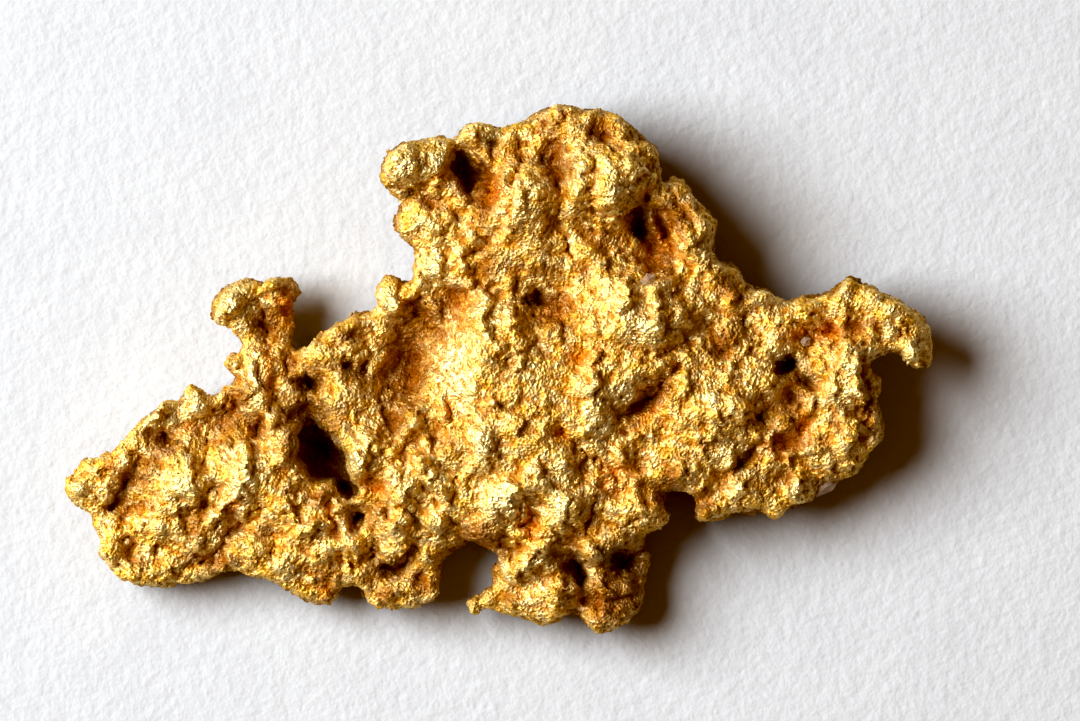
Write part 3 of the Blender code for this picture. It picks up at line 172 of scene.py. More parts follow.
SOUTH_FINE = [
    ("pit", 580, 570, 6, 20, 12, 0.5), ("pit", 622, 556, 13, 10, 0, 0.4),
    ("crease", 3, 0.4, [(506, 556), (524, 546), (512, 535)]),
    ("ridge", 4, 0.3, [(508, 574), (530, 556), (552, 537)]), ("pit", 356, 514, 9, 9, 0, 0.4),
    ("crease", 3, 0.5, [(408, 506), (418, 520), (425, 536)]),
    ("crease", 3, 0.5, [(372, 550), (388, 567), (398, 572), (412, 547)]),
    ("crease", 3, 0.4, [(378, 512), (374, 532), (378, 550)]),
    ("crease", 3, 0.4, [(342, 552), (344, 566), (340, 580)]),
    ("ridge", 3, 0.3, [(334, 512), (344, 496), (366, 491)]), ("pit", 586, 600, 6, 6, 0, 0.3),
]
WEST_FINE = [
    ("crease", 3, 0.4, [(79, 468), (88, 473), (97, 481)]),
    ("crease", 4, 0.4, [(143, 460), (131, 474), (120, 494), (106, 508)]), ("pit", 165, 437, 9, 6, 0, 0.4),
    ("crease", 4, 0.35, [(244, 391), (228, 408), (215, 426), (204, 462)]),
    ("ledge", 256, 402, 8, 18, 0, 0.3), ("pit", 257, 429, 9, 7, 0, 0.4), ("pit", 310, 383, 8, 8, 0, 0.5),
    ("crease", 3, 0.35, [(222, 482), (203, 498), (182, 513), (188, 530)]),
    ("pit", 272, 533, 8, 5, 0, 0.4),
    ("crease", 4, 0.4, [(262, 505), (249, 524), (238, 521), (225, 536), (215, 555), (200, 562)]),
    ("crease", 3, 0.4, [(128, 534), (131, 548), (129, 560)]), ("pit", 160, 545, 6, 5, 0, 0.3),
    ("crease", 3, 0.5, [(331, 500), (329, 515), (335, 535)]), ("ledge", 175, 470, 14, 26, 10, 0.3),
    ("ledge", 240, 466, 14, 28, 10, 0.3), ("ledge", 306, 512, 14, 22, -60, 0.3),
    ("ledge", 360, 452, 10, 28, -15, 0.3), ("pit", 347, 366, 6, 6, 0, 0.35),
    ("pit", 366, 366, 5, 6, 0, 0.35), ("crease", 3, 0.3, [(340, 352), (352, 345), (376, 352)]),
    ("crease", 3, 0.4, [(258, 300), (263, 320), (269, 340)]), ("ledge", 250, 372, 8, 22, 5, 0.3),
    ("crease", 3, 0.4, [(284, 350), (286, 366), (292, 380)]), ("ledge", 232, 300, 10, 14, 0, 0.25),
]
FINE_RELIEF = CROWN_FINE + CENTRE_FINE + EAST_FINE + SOUTH_FINE + WEST_FINE
FINE_TOP = 0.25                           # only what faces up at least this much takes the fine forms

# Small ledges scattered over the top, which rise to the east and break off: how many, and their sizes.
FLAKE_COUNT = 420
FLAKE_LENGTHS, FLAKE_WIDTHS = (4, 11), (5, 14)
FLAKE_TURNS, FLAKE_SLOPES = (-70, 50), (0.25, 0.6)

# Patches of painted shade, and worn places with a painted highlight: x, y, half length, half width, turn in
# degrees anticlockwise, strength.
# Orange painted shade, on faces turned from the light and in cavities.
ORANGE_SHADE = [
    (110, 463, 10, 8, 40, 0.9), (160, 411, 10, 6, 35, 0.5), (191, 425, 8, 7, 0, 0.7),
    (235, 503, 12, 7, 40, 0.9), (325, 590, 9, 14, 0, 0.6), (332, 518, 7, 20, 15, 0.5),
    (287, 305, 12, 26, 0, 0.9), (268, 372, 7, 26, 0, 0.8), (378, 486, 14, 12, 0, 0.8),
    (492, 190, 14, 24, -10, 0.9), (662, 236, 16, 24, -30, 0.7), (580, 355, 15, 9, 0, 1.0),
    (560, 430, 10, 8, 0, 0.9), (648, 412, 26, 12, 35, 0.7), (616, 478, 26, 20, 0, 0.6),
    (532, 526, 14, 12, 0, 0.9), (803, 420, 10, 12, 0, 0.8), (828, 330, 13, 9, 0, 1.0),
    (800, 332, 26, 9, 5, 0.6), (786, 440, 24, 14, 20, 0.6), (565, 112, 10, 8, 0, 0.6),
    (448, 408, 8, 12, 20, 0.8), (460, 300, 12, 12, 0, 0.5), (556, 312, 22, 10, 0, 0.5),
    (410, 305, 14, 12, 0, 0.5),
]
# Dark brown painted shade, in troughs, in the lee of ledges and on low parts.
UMBER_SHADE = [
    (230, 400, 24, 10, 60, 0.7), (310, 408, 22, 18, 0, 0.8), (290, 440, 8, 32, 0, 0.7),
    (404, 356, 44, 22, 80, 0.8), (370, 380, 20, 14, 0, 0.4), (646, 400, 30, 7, 38, 0.7),
    (165, 437, 14, 9, 0, 0.6), (258, 430, 12, 10, 0, 0.6), (468, 178, 20, 30, 20, 0.8),
    (648, 226, 16, 22, 30, 0.7), (620, 560, 30, 34, 0, 0.7), (562, 565, 16, 26, 0, 0.5),
    (792, 366, 14, 20, 0, 0.6), (746, 456, 22, 9, 45, 0.7), (126, 484, 10, 30, -40, 0.6),
    (262, 326, 10, 24, -20, 0.7), (228, 536, 14, 20, -40, 0.6), (130, 548, 8, 14, 0, 0.6),
    (392, 566, 26, 14, 0, 0.6), (355, 515, 12, 12, 0, 0.6), (590, 516, 8, 16, 0, 0.6),
    (722, 342, 12, 14, 0, 0.5), (868, 400, 8, 34, 0, 0.5), (350, 366, 24, 10, 0, 0.5),
    (640, 590, 14, 24, 0, 0.6), (760, 420, 8, 20, 0, 0.5), (560, 150, 8, 30, 0, 0.5),
    (538, 300, 26, 6, 0, 0.7), (430, 200, 30, 10, -20, 0.7), (487, 265, 30, 12, 85, 0.9),
    (424, 318, 26, 22, 60, 1.0), (414, 372, 34, 18, 80, 1.0), (398, 420, 24, 12, 65, 0.9),
    (484, 536, 26, 18, -20, 1.0), (606, 602, 34, 30, 0, 1.0), (556, 172, 40, 13, 90, 1.0),
    (600, 129, 14, 14, 0, 1.0), (543, 122, 10, 12, 0, 0.9), (519, 155, 12, 10, 0, 0.9),
    (485, 190, 36, 10, 80, 0.9), (455, 300, 16, 12, 0, 0.8), (548, 316, 28, 18, 0, 0.9),
    (540, 268, 26, 10, 0, 0.7), (582, 270, 12, 10, 0, 0.7), (678, 212, 26, 24, 0, 0.9),
    (664, 258, 16, 10, 60, 0.9), (602, 240, 12, 8, 0, 0.7), (722, 342, 28, 15, 30, 1.0),
    (725, 281, 14, 12, 0, 0.9), (857, 323, 10, 9, 0, 0.8), (799, 396, 40, 11, 65, 0.9),
    (787, 478, 14, 8, 20, 0.7), (672, 478, 24, 11, 85, 0.9), (702, 506, 14, 12, 0, 0.8),
    (665, 388, 16, 10, 60, 0.6), (386, 592, 12, 10, 0, 0.8), (424, 584, 14, 12, 0, 0.8),
    (507, 597, 14, 10, 0, 0.8), (328, 572, 14, 10, 0, 0.7), (317, 496, 14, 10, 0, 0.7),
    (290, 364, 18, 12, 80, 0.9), (268, 322, 22, 9, 110, 0.8), (233, 408, 32, 11, 60, 1.0),
    (152, 459, 34, 11, 50, 0.8), (124, 507, 12, 8, 0, 0.7), (198, 514, 22, 10, 60, 0.9),
    (220, 558, 14, 10, 0, 0.8), (340, 414, 16, 10, 120, 0.5), (350, 333, 24, 10, 30, 0.7),
    (414, 366, 22, 14, 85, 0.7), (440, 332, 14, 10, 0, 0.7), (388, 402, 18, 12, 0, 0.6),
    (478, 162, 14, 9, 85, 0.8), (485, 206, 22, 9, 85, 0.8), (462, 236, 9, 8, 0, 0.5),
    (455, 288, 14, 11, 80, 0.8), (552, 302, 24, 10, 0, 0.7), (499, 288, 8, 9, 0, 0.6),
    (605, 131, 16, 13, 0, 0.7), (570, 168, 14, 9, 85, 0.6), (550, 148, 12, 10, 0, 0.5),
    (606, 232, 10, 9, 0, 0.6), (663, 216, 20, 9, 80, 0.6), (666, 264, 16, 9, 80, 0.7),
    (671, 311, 10, 8, 0, 0.6), (730, 288, 26, 12, -30, 0.8), (858, 322, 11, 10, 0, 0.8),
    (664, 386, 26, 9, 60, 0.7), (572, 345, 14, 8, 85, 0.6), (508, 365, 14, 7, 85, 0.6),
    (838, 424, 10, 9, 0, 0.8), (803, 440, 12, 9, 20, 0.7), (870, 425, 14, 8, 85, 0.6),
    (775, 415, 11, 8, 0, 0.6), (732, 472, 10, 8, 0, 0.5), (830, 480, 12, 7, 0, 0.6),
    (757, 468, 22, 6, 85, 0.5), (655, 500, 12, 8, 85, 0.7), (700, 497, 11, 10, 0, 0.7),
    (640, 541, 14, 10, 0, 0.6), (575, 547, 11, 9, 0, 0.7), (487, 560, 22, 14, 85, 0.9),
    (470, 530, 14, 12, 0, 0.7), (385, 592, 13, 10, 0, 0.7), (423, 582, 14, 11, 0, 0.7),
    (330, 575, 14, 9, 0, 0.6), (378, 512, 22, 10, 85, 0.6), (321, 496, 14, 10, 0, 0.7),
    (332, 426, 12, 11, 0, 0.8), (316, 376, 20, 15, 85, 0.7), (361, 372, 12, 8, 85, 0.6),
    (275, 325, 22, 9, 100, 0.8), (232, 428, 26, 10, 65, 0.7), (258, 428, 10, 10, 0, 0.7),
    (168, 448, 13, 10, 0, 0.6), (141, 480, 14, 12, 0, 0.7), (146, 502, 12, 10, 0, 0.6),
    (196, 530, 14, 8, 85, 0.6), (210, 562, 34, 8, 0, 0.7), (137, 560, 9, 7, 0, 0.6),
    (284, 480, 22, 9, 85, 0.4), (260, 531, 14, 9, 85, 0.5), (453, 444, 11, 8, 85, 0.7),
    (437, 431, 15, 8, 50, 0.5),
]
# Deep holes: near-black painted shade in their colour; the same holes are also dug deeper.
SHADED_HOLES = [
    (322, 450, 30, 22, -60, 1.0), (343, 482, 16, 10, -52, 1.0), (308, 412, 18, 14, 0, 0.6),
    (310, 383, 11, 11, 0, 0.9), (790, 361, 11, 10, 0, 1.0), (806, 380, 6, 10, 30, 0.7),
    (620, 558, 20, 10, -20, 0.9), (579, 571, 6, 22, 12, 0.9), (640, 226, 9, 20, 0, 0.8),
    (534, 300, 14, 5, 0, 0.9), (466, 172, 12, 24, 15, 0.8), (746, 456, 16, 6, 45, 0.8),
    (355, 514, 8, 8, 0, 0.7), (392, 566, 14, 8, 0, 0.8), (412, 192, 8, 6, 0, 0.6),
    (543, 158, 7, 5, 0, 0.7), (491, 141, 9, 6, 0, 0.7), (165, 437, 9, 6, 0, 0.5),
    (745, 322, 4, 8, 0, 0.7), (610, 262, 14, 5, 0, 0.6), (348, 366, 7, 6, 0, 0.5),
    (418, 522, 5, 14, 20, 0.6), (122, 492, 6, 18, -40, 0.5), (640, 398, 20, 4, 38, 0.6),
]
# Worn places: less fine relief and more shine, and a painted highlight in their colour.
WORN_AND_HIGHLIT = [
    (454, 376, 24, 38, 0, 1.0), (480, 440, 13, 24, 0, 1.0), (488, 308, 20, 20, 0, 0.9),
    (592, 398, 10, 34, 5, 0.8), (560, 505, 15, 20, 0, 0.8), (488, 498, 18, 30, 0, 0.8),
    (360, 454, 12, 28, -15, 0.8), (404, 474, 14, 28, 35, 0.7), (614, 290, 24, 24, 0, 0.6),
    (846, 372, 14, 30, 0, 0.7), (738, 487, 8, 12, 0, 0.8), (796, 486, 8, 12, 0, 0.8),
    (505, 205, 14, 34, -10, 0.6), (404, 166, 18, 24, 0, 0.7), (426, 228, 16, 18, 0, 0.6),
    (430, 268, 16, 20, 0, 0.6), (232, 296, 16, 18, 0, 0.7), (252, 366, 10, 26, 0, 0.7),
    (256, 402, 8, 18, 0, 0.7), (168, 410, 30, 12, 30, 0.6), (176, 478, 18, 22, 20, 0.6),
    (236, 462, 16, 28, 10, 0.6), (82, 486, 10, 8, 0, 0.6), (580, 165, 10, 40, 0, 0.5),
    (650, 335, 30, 12, 20, 0.4), (440, 520, 10, 18, 30, 0.5), (380, 520, 12, 18, 30, 0.4),
    (720, 370, 20, 16, 20, 0.4), (768, 392, 16, 12, 0, 0.3), (542, 580, 14, 22, -40, 0.3),
    (910, 350, 10, 10, 0, 0.5), (886, 306, 8, 12, 0, 0.4), (492, 440, 10, 22, 0, 0.9),
    (505, 500, 20, 26, 0, 1.0), (560, 488, 15, 34, 0, 0.8), (603, 428, 16, 22, 0, 0.8),
    (625, 394, 16, 18, 0, 0.8), (635, 315, 14, 26, 0, 0.9), (690, 325, 28, 10, 20, 0.8),
    (718, 452, 18, 24, 0, 0.8), (714, 390, 14, 14, 0, 0.7), (775, 358, 12, 15, 0, 0.7),
    (840, 392, 12, 16, 0, 0.7), (878, 335, 18, 8, 50, 0.8), (620, 190, 16, 32, 0, 0.8),
    (525, 210, 10, 28, 0, 0.8), (408, 168, 20, 18, 0, 0.8), (435, 268, 16, 22, 0, 0.8),
    (392, 300, 8, 18, 0, 0.8), (243, 308, 12, 15, 0, 0.8), (265, 385, 6, 16, 0, 0.7),
    (200, 410, 22, 11, 55, 0.9), (236, 498, 38, 15, 60, 0.9), (326, 530, 18, 11, 40, 0.8),
    (435, 472, 14, 16, 0, 0.8), (532, 562, 22, 13, 50, 0.8), (491, 315, 14, 14, 0, 0.9),
    (604, 556, 9, 8, 0, 0.8), (530, 370, 8, 10, 0, 0.5), (452, 359, 20, 22, 0, 1.0),
    (440, 158, 28, 12, 20, 0.9), (527, 190, 18, 8, 85, 0.8), (612, 202, 16, 15, 0, 0.7),
    (640, 328, 22, 15, 0, 0.9), (685, 330, 26, 9, 10, 0.7), (602, 430, 28, 14, 85, 0.9),
    (610, 488, 22, 17, 0, 0.9), (553, 475, 14, 14, 0, 0.6), (518, 508, 24, 16, 0, 0.8),
    (484, 445, 20, 10, 85, 0.9), (440, 475, 22, 11, 85, 0.7), (418, 495, 14, 12, 0, 0.9),
    (440, 535, 10, 9, 0, 0.9), (400, 526, 16, 8, 85, 0.7), (326, 530, 20, 14, 40, 0.8),
    (365, 462, 14, 10, 0, 0.8), (285, 567, 18, 12, -40, 0.7), (226, 525, 26, 13, 50, 0.9),
    (252, 470, 28, 9, 85, 0.9), (183, 493, 18, 12, 85, 0.9), (165, 535, 14, 14, 0, 0.6),
    (165, 415, 22, 12, 20, 0.9), (207, 410, 12, 10, 0, 0.6), (264, 372, 22, 7, 85, 0.9),
    (243, 306, 16, 12, 60, 0.9), (390, 305, 26, 9, 85, 0.8), (434, 274, 18, 12, 60, 0.9),
    (530, 365, 10, 9, 0, 0.7), (602, 365, 11, 8, 85, 0.7), (728, 442, 20, 14, 0, 0.8),
    (746, 380, 18, 8, 85, 0.6), (778, 355, 12, 11, 0, 0.8), (768, 300, 12, 10, 0, 0.8),
    (875, 340, 17, 9, 55, 0.8), (912, 345, 15, 9, 85, 0.8), (817, 455, 12, 9, 0, 0.6),
    (845, 395, 12, 9, 80, 0.6), (800, 490, 12, 9, 0, 0.6), (545, 558, 28, 12, 50, 0.9),
    (602, 553, 10, 9, 0, 0.8), (703, 252, 16, 10, 80, 0.7), (86, 490, 10, 9, 0, 0.6),
    (632, 385, 28, 10, 35, 0.7), (375, 354, 10, 9, 0, 0.5),
]

CRUMB_COUNT = 2500
CRUMB_SIZES = (0.045 * MM, 0.11 * MM)
CRUMBS_BELOW, BELOW_SHARE = -0.2, 0.15    # what faces down more than this has fewer crumbs, by this share
CRUMB_LEAN, CRUMB_RAGGED = 0.35, 0.25     # how far crumbs lean, and how uneven they are
CRUMB_STRETCH, CRUMB_FLATNESS = (0.6, 1.4), 0.6


def to_grid(points):
    """Metres in the plan, as an array, turned into grid places."""
    across = BOX_WEST_X + (points[:, 0] - NUGGET_BOX[0].x) / PIXEL
    down = BOX_NORTH_Y + (NUGGET_BOX[1].y - points[:, 1]) / PIXEL
    return np.stack([across, down], axis=1)


def at(x, y, height=0.0):
    """A grid place and a height in metres as a point."""
    return Vector((
        NUGGET_BOX[0].x + (x - BOX_WEST_X) * PIXEL,
        NUGGET_BOX[1].y - (y - BOX_NORTH_Y) * PIXEL,
        height,
    ))


def add_object(name, mesh):
    made = bpy.data.objects.new(name, mesh)
    bpy.context.scene.collection.objects.link(made)
    return made


def bake_modifiers(thing):
    """Gives the object the mesh that its modifiers make, and clears them."""
    graph = bpy.context.evaluated_depsgraph_get()
    mesh = bpy.data.meshes.new_from_object(thing.evaluated_get(graph))
    thing.modifiers.clear()
    thing.data = mesh


def vertex_array(mesh):
    flat = np.empty(len(mesh.vertices) * 3)
    mesh.vertices.foreach_get("co", flat)
    return flat.reshape(-1, 3)


def normal_array(mesh):
    flat = np.empty(len(mesh.vertices) * 3)
    mesh.vertex_normals.foreach_get("vector", flat)
    return flat.reshape(-1, 3)


def edge_array(mesh):
    flat = np.empty(len(mesh.edges) * 2, np.int32)
    mesh.edges.foreach_get("vertices", flat)
    return flat.reshape(-1, 2)


def put_vertices(mesh, points):
    mesh.vertices.foreach_set("co", points.ravel())
    mesh.update()


def neighbour_mean(values, edges):
    """The mean of each point's neighbours, for an array with one row a point."""
    count = np.bincount(edges.ravel(), minlength=len(values))
    columns = []
    for column in values.T:
        total = np.bincount(edges[:, 0], column[edges[:, 1]], len(values))
        total += np.bincount(edges[:, 1], column[edges[:, 0]], len(values))
        columns.append(total / np.maximum(count, 1))
    return np.stack(columns, axis=1)


def turned(places, x, y, turn):
    """How far along and aside of a turned axis each place lies, from the axis's middle."""
    angle = math.radians(turn)
    across, down = places[:, 0] - x, places[:, 1] - y
    along = across * math.cos(angle) - down * math.sin(angle)
    aside = across * math.sin(angle) + down * math.cos(angle)
    return along, aside


def soft_oval(places, x, y, half_length, half_width, turn):
    along, aside = turned(places, x, y, turn)
    return np.exp(-OVAL_FADE * ((along / half_length) ** 2 + (aside / half_width) ** 2))


def distance_to_line(places, run):
    """How far each place is from a run of straight pieces."""
    nearest = np.full(len(places), np.inf)
    for start, end in zip(run[:-1], run[1:]):
        piece = end - start
        share = np.clip((places - start) @ piece / (piece @ piece), 0, 1)
        nearest = np.minimum(nearest, np.linalg.norm(places - start - share[:, None] * piece, axis=1))
    return nearest


def pit(places, x, y, half_length, half_width, turn, depth):
    along, aside = turned(places, x, y, turn)
    squared = (along / half_length) ** 2 + (aside / half_width) ** 2
    return -depth * np.clip(1 - squared, 0, None)


def ledge(places, x, y, half_length, half_width, turn, height):
    """A face that rises the way it is turned, and breaks off at its high end."""
    along, aside = turned(places, x, y, turn)
    along, aside = along / half_length, aside / half_width
    inside = (np.abs(along) < 1) * np.sqrt(np.clip(1 - aside ** 2, 0, None))
    return height * inside * (along + 1) / 2


def ridge(places, half_width, height, run):
    return height * np.clip(1 - distance_to_line(places, np.array(run, float)) / half_width, 0, None)


def crease(places, half_width, depth, run):
    return -ridge(places, half_width, depth, run)


FORMS = {"pit": pit, "ledge": ledge, "ridge": ridge, "crease": crease}


def wandered(places):
    """The grid places moved about by a slow noise, so that no edge stays straight."""
    moved = []
    for x, y in places:
        shift = FRAY * noise.noise_vector(Vector((x, y, 0)) / FRAY_WAVE)
        moved.append((x + shift.x, y + shift.y))
    return np.array(moved)


def fine_relief(places, seed):
    """How far the fine forms and the scattered ledges raise each place, in millimetres."""
    raised = sum(FORMS[form](places, *sizes) for form, *sizes in FINE_RELIEF)
    draw = np.random.default_rng(seed)
    for _ in range(FLAKE_COUNT):
        x, y = draw.uniform(BOX_WEST_X, BOX_EAST_X), draw.uniform(BOX_NORTH_Y, BOX_SOUTH_Y)
        length, width = draw.uniform(*FLAKE_LENGTHS), draw.uniform(*FLAKE_WIDTHS)
        height = draw.uniform(*FLAKE_SLOPES) * 2 * length * PIXEL / MM
        raised += ledge(places, x, y, length, width, draw.uniform(*FLAKE_TURNS), height)
    return raised


def inside_box(points, box):
    """The points, none of them outside the box, and the highest eased down so that no top is cut flat."""
    roof = box[1].z
    knee = KNEE_SHARE * roof
    eased = points.copy()
    high = points[:, 2] > knee
    eased[high, 2] = knee + (roof - knee) * np.tanh((points[high, 2] - knee) / (roof - knee))
    return np.clip(eased, np.array(box[0]), np.array(box[1]))


def even_out(body, voxel):
    even = body.modifiers.new("Even out", "REMESH")
    even.mode = "VOXEL"
    even.voxel_size = voxel
    bake_modifiers(body)


def fine_body(settings):
    """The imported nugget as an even, fine mesh, its coarse corners eased and its fine forms added."""
    shape = bmesh.new()
    shape.from_mesh(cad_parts["nugget"].data)
    bmesh.ops.remove_doubles(shape, verts=shape.verts[:], dist=1e-7)
    mesh = bpy.data.meshes.new("gold_nugget")
    shape.to_mesh(mesh)
    shape.free()
    body = add_object("gold_nugget", mesh)
    even_out(body, settings.voxel)
    points, edges = vertex_array(body.data), edge_array(body.data)
    for _ in range(EASE_ROUNDS):
        points += EASE_SHARE * (neighbour_mean(points, edges) - points)
    smooth = points.copy()
    for _ in range(RELIEF_ROUNDS):
        smooth = neighbour_mean(smooth, edges)
    in_hole = patches_of(points, SHADED_HOLES)
    points[:, 2] += (RELIEF_GAIN + (HOLE_GAIN - RELIEF_GAIN) * in_hole) * (points - smooth)[:, 2]
    put_vertices(body.data, points)
    up = normal_array(body.data)[:, 2] > FINE_TOP
    places = wandered(to_grid(points[up]))
    points[up, 2] += settings.relief * MM * fine_relief(places, settings.flake_seed)
    put_vertices(body.data, inside_box(points, NUGGET_BOX))
    even_out(body, settings.voxel)
    return body


def facet(place, wave):
    """Flat plates about a wave across, each tilted its own way, as a height of about -0.5 to 0.5."""
    scaled = place / wave
    distances, middles = noise.voronoi(scaled)
    middle = middles[0]
    tilt = noise.cell_vector(middle * TILT_KEY)
    lift = noise.cell_vector(middle * LIFT_KEY).x
    seam = max(0.0, SEAM_WIDTH - (distances[1] - distances[0])) / SEAM_WIDTH
    return (scaled - middle).dot(tilt) + LIFT_SHARE * lift - SEAM_DEPTH * seam


def granular_share(x):
    low, high = GRANULAR_X
    share = min(max((x - low) / (high - low), 0.0), 1.0)
    return share * share * (3 - 2 * share)


def roughen(body, settings):
    """Pushes each point in or out along its normal: foil plates, flakes that lean, and crumbs."""
    points, normals = vertex_array(body.data), normal_array(body.data)
    places = to_grid(points)
    worn = 1 - RUBBED_SHARE * patches_of(points, WORN_AND_HIGHLIT)
    lean = Matrix.Rotation(-math.radians(FLAKE_TURN), 3, "Z")
    stretch = Matrix.Diagonal((1 / FLAKE_STRETCH, 1.0, 1.0))
    to_flake = stretch @ lean
    shifts = np.empty(len(points))
    for index in range(len(points)):
        place = Vector(points[index])
        bent = place + BEND * noise.noise_vector(place / BEND_WAVE)
        granular = granular_share(places[index, 0])
        shift = PLATE_DEPTH * facet(bent, PLATE_WAVE) + FOIL_DEPTH * facet(bent, FOIL_WAVE)
        if granular < 1:
            shift += (1 - granular) * FLAKE_DEPTH * facet(to_flake @ bent, FLAKE_WAVE)
        if granular > 0:
            distances, _ = noise.voronoi(bent / FLAKE_WAVE)
            shift += granular * FLAKE_DEPTH * (CRUMB_TOP - CRUMB_FALL * distances[0])
        shift += CRUMB_DEPTH * facet(bent, CRUMB_WAVE)
        if normals[index, 2] < FACES_DOWN:
            shift *= UNDERSIDE_SHARE
        shifts[index] = shift * settings.relief * worn[index]
    points += normals * shifts[:, None]
    put_vertices(body.data, inside_box(points, NUGGET_BOX))


def fewer_faces(body, budget):
    body.data.calc_loop_triangles()
    fewer = body.modifiers.new("Fewer faces", "DECIMATE")
    fewer.ratio = min(1.0, budget / len(body.data.loop_triangles))
    bake_modifiers(body)


def hollow_of(mesh):
    """How far each point lies in a small hollow, from -1 on a crest to 1."""
    points, edges = vertex_array(mesh), edge_array(mesh)
    smooth = points.copy()
    for _ in range(HOLLOW_ROUNDS):
        smooth = neighbour_mean(smooth, edges)
    inward = ((smooth - points) * normal_array(mesh)).sum(axis=1)
    return np.clip(inward / HOLLOW_DEPTH, -1, 1)


def roof_depth(points):
    """How far each point lies below the ground around it, in millimetres."""
    cells = (to_grid(points) / ROOF_CELL).astype(int)
    wide, high = int(SHEET_WIDTH / ROOF_CELL) + 1, int(SHEET_HEIGHT / ROOF_CELL) + 1
    roof = np.zeros((wide, high))
    np.maximum.at(roof, (cells[:, 0], cells[:, 1]), points[:, 2])
    total, count = np.zeros_like(roof), np.zeros_like(roof)
    for across in range(-ROOF_REACH, ROOF_REACH + 1):
        for down in range(-ROOF_REACH, ROOF_REACH + 1):
            if across * across + down * down <= ROOF_REACH * ROOF_REACH:
                moved = np.roll(roof, (across, down), axis=(0, 1))
                total += moved
                count += moved > 0
    mean = total / np.maximum(count, 1)
    return (mean[cells[:, 0], cells[:, 1]] - points[:, 2]) / MM


def patches_of(points, patches):
    """How strongly soft oval patches cover each point."""
    places = to_grid(points)
    cover = np.zeros(len(points))
    for x, y, half_length, half_width, turn, strength in patches:
        cover += (1 - cover) * strength * soft_oval(places, x, y, half_length, half_width, turn)
    return cover


MARKS = ("hollow", "depth", "orange_shade", "umber_shade", "hole_shade", "worn_and_highlit")


def put_attribute(mesh, name, values):
    attribute = mesh.attributes.new(name, "FLOAT", "POINT")
    attribute.data.foreach_set("value", values.astype(np.float32))


def mark_surface(mesh):
    """Gives the mesh the hollows and depths, the patches of painted shade, and the worn places with a
    painted highlight, which its material reads.
    """
    points = vertex_array(mesh)
    put_attribute(mesh, "hollow", hollow_of(mesh))
    put_attribute(mesh, "depth", roof_depth(points))
    put_attribute(mesh, "orange_shade", patches_of(points, ORANGE_SHADE))
    put_attribute(mesh, "umber_shade", patches_of(points, UMBER_SHADE))
    put_attribute(mesh, "hole_shade", patches_of(points, SHADED_HOLES))
    put_attribute(mesh, "worn_and_highlit", patches_of(points, WORN_AND_HIGHLIT))


def copy_marks(source, target):
    """Gives each point of the target mesh the marks of the source's nearest point."""
    tree = KDTree(len(source.vertices))
    for index, vertex in enumerate(source.vertices):
        tree.insert(vertex.co, index)
    tree.balance()
    nearest = np.array([tree.find(point)[1] for point in vertex_array(target)])
    for name in MARKS:
        values = np.empty(len(source.vertices), np.float32)
        source.attributes[name].data.foreach_get("value", values)
        put_attribute(target, name, values[nearest])


class Nodes:
    """A material's or a node group's nodes, with short ways to add and join them."""

    def __init__(self, tree):
        self.tree = tree

    def add(self, kind, **values):
        node = self.tree.nodes.new(kind)
        for name, value in values.items():
            setattr(node, name, value)
        return node

    def join(self, source, target):
        self.tree.links.new(source, target)

    def math(self, operation, first, second):
        node = self.add("ShaderNodeMath", operation=operation)
        for socket, value in zip(node.inputs, (first, second)):
            self.feed(socket, value)
        return node.outputs[0]

    def share(self, value, part):
        return self.math("MULTIPLY", value, part)

    def feed(self, socket, value):
        if isinstance(value, bpy.types.NodeSocket):
            self.join(value, socket)
        else:
            socket.default_value = value

    def mix(self, share, first, second):
        """The second colour over the first. The mix node's colour sockets are its inputs 6 and 7."""
        node = self.add("ShaderNodeMix", data_type="RGBA")
        self.feed(node.inputs[0], share)
        self.feed(node.inputs[6], first)
        self.feed(node.inputs[7], second)
        return node.outputs[2]

    def spread(self, value, low, high, to_low=0.0, to_high=1.0):
        node = self.add("ShaderNodeMapRange")
        for socket, given in zip(node.inputs, (value, low, high, to_low, to_high)):
            self.feed(socket, given)
        return node.outputs[0]

    def noise(self, place, wave, detail=2.0):
        node = self.add("ShaderNodeTexNoise")
        self.join(place, node.inputs["Vector"])
        node.inputs["Scale"].default_value = 1 / wave
        node.inputs["Detail"].default_value = detail
        return node.outputs["Fac"]

    def attribute(self, name):
        node = self.add("ShaderNodeAttribute", attribute_name=name)
        return node.outputs["Fac"]


def tooth_group():
    """A node group: small bumps over a surface, as a height from 0 to 1."""
    group = bpy.data.node_groups.new("Tooth", "ShaderNodeTree")
    group.interface.new_socket("Vector", in_out="INPUT", socket_type="NodeSocketVector")
    scale = group.interface.new_socket("Scale", in_out="INPUT", socket_type="NodeSocketFloat")
    scale.default_value = 1000.0
    sharp = group.interface.new_socket("Sharpness", in_out="INPUT", socket_type="NodeSocketFloat")
    sharp.default_value = 0.5
    group.interface.new_socket("Height", in_out="OUTPUT", socket_type="NodeSocketFloat")
    nodes = Nodes(group)
    given = nodes.add("NodeGroupInput")
    result = nodes.add("NodeGroupOutput")
    soft = nodes.add("ShaderNodeTexNoise")
    nodes.join(given.outputs["Vector"], soft.inputs["Vector"])
    nodes.join(given.outputs["Scale"], soft.inputs["Scale"])
    cells = nodes.add("ShaderNodeTexVoronoi")
    nodes.join(given.outputs["Vector"], cells.inputs["Vector"])
    nodes.join(given.outputs["Scale"], cells.inputs["Scale"])
    blend = nodes.add("ShaderNodeMix")
    nodes.join(given.outputs["Sharpness"], blend.inputs[0])
    nodes.join(soft.outputs["Fac"], blend.inputs[2])
    nodes.join(cells.outputs["Distance"], blend.inputs[3])
    nodes.join(blend.outputs[0], result.inputs["Height"])
    return group


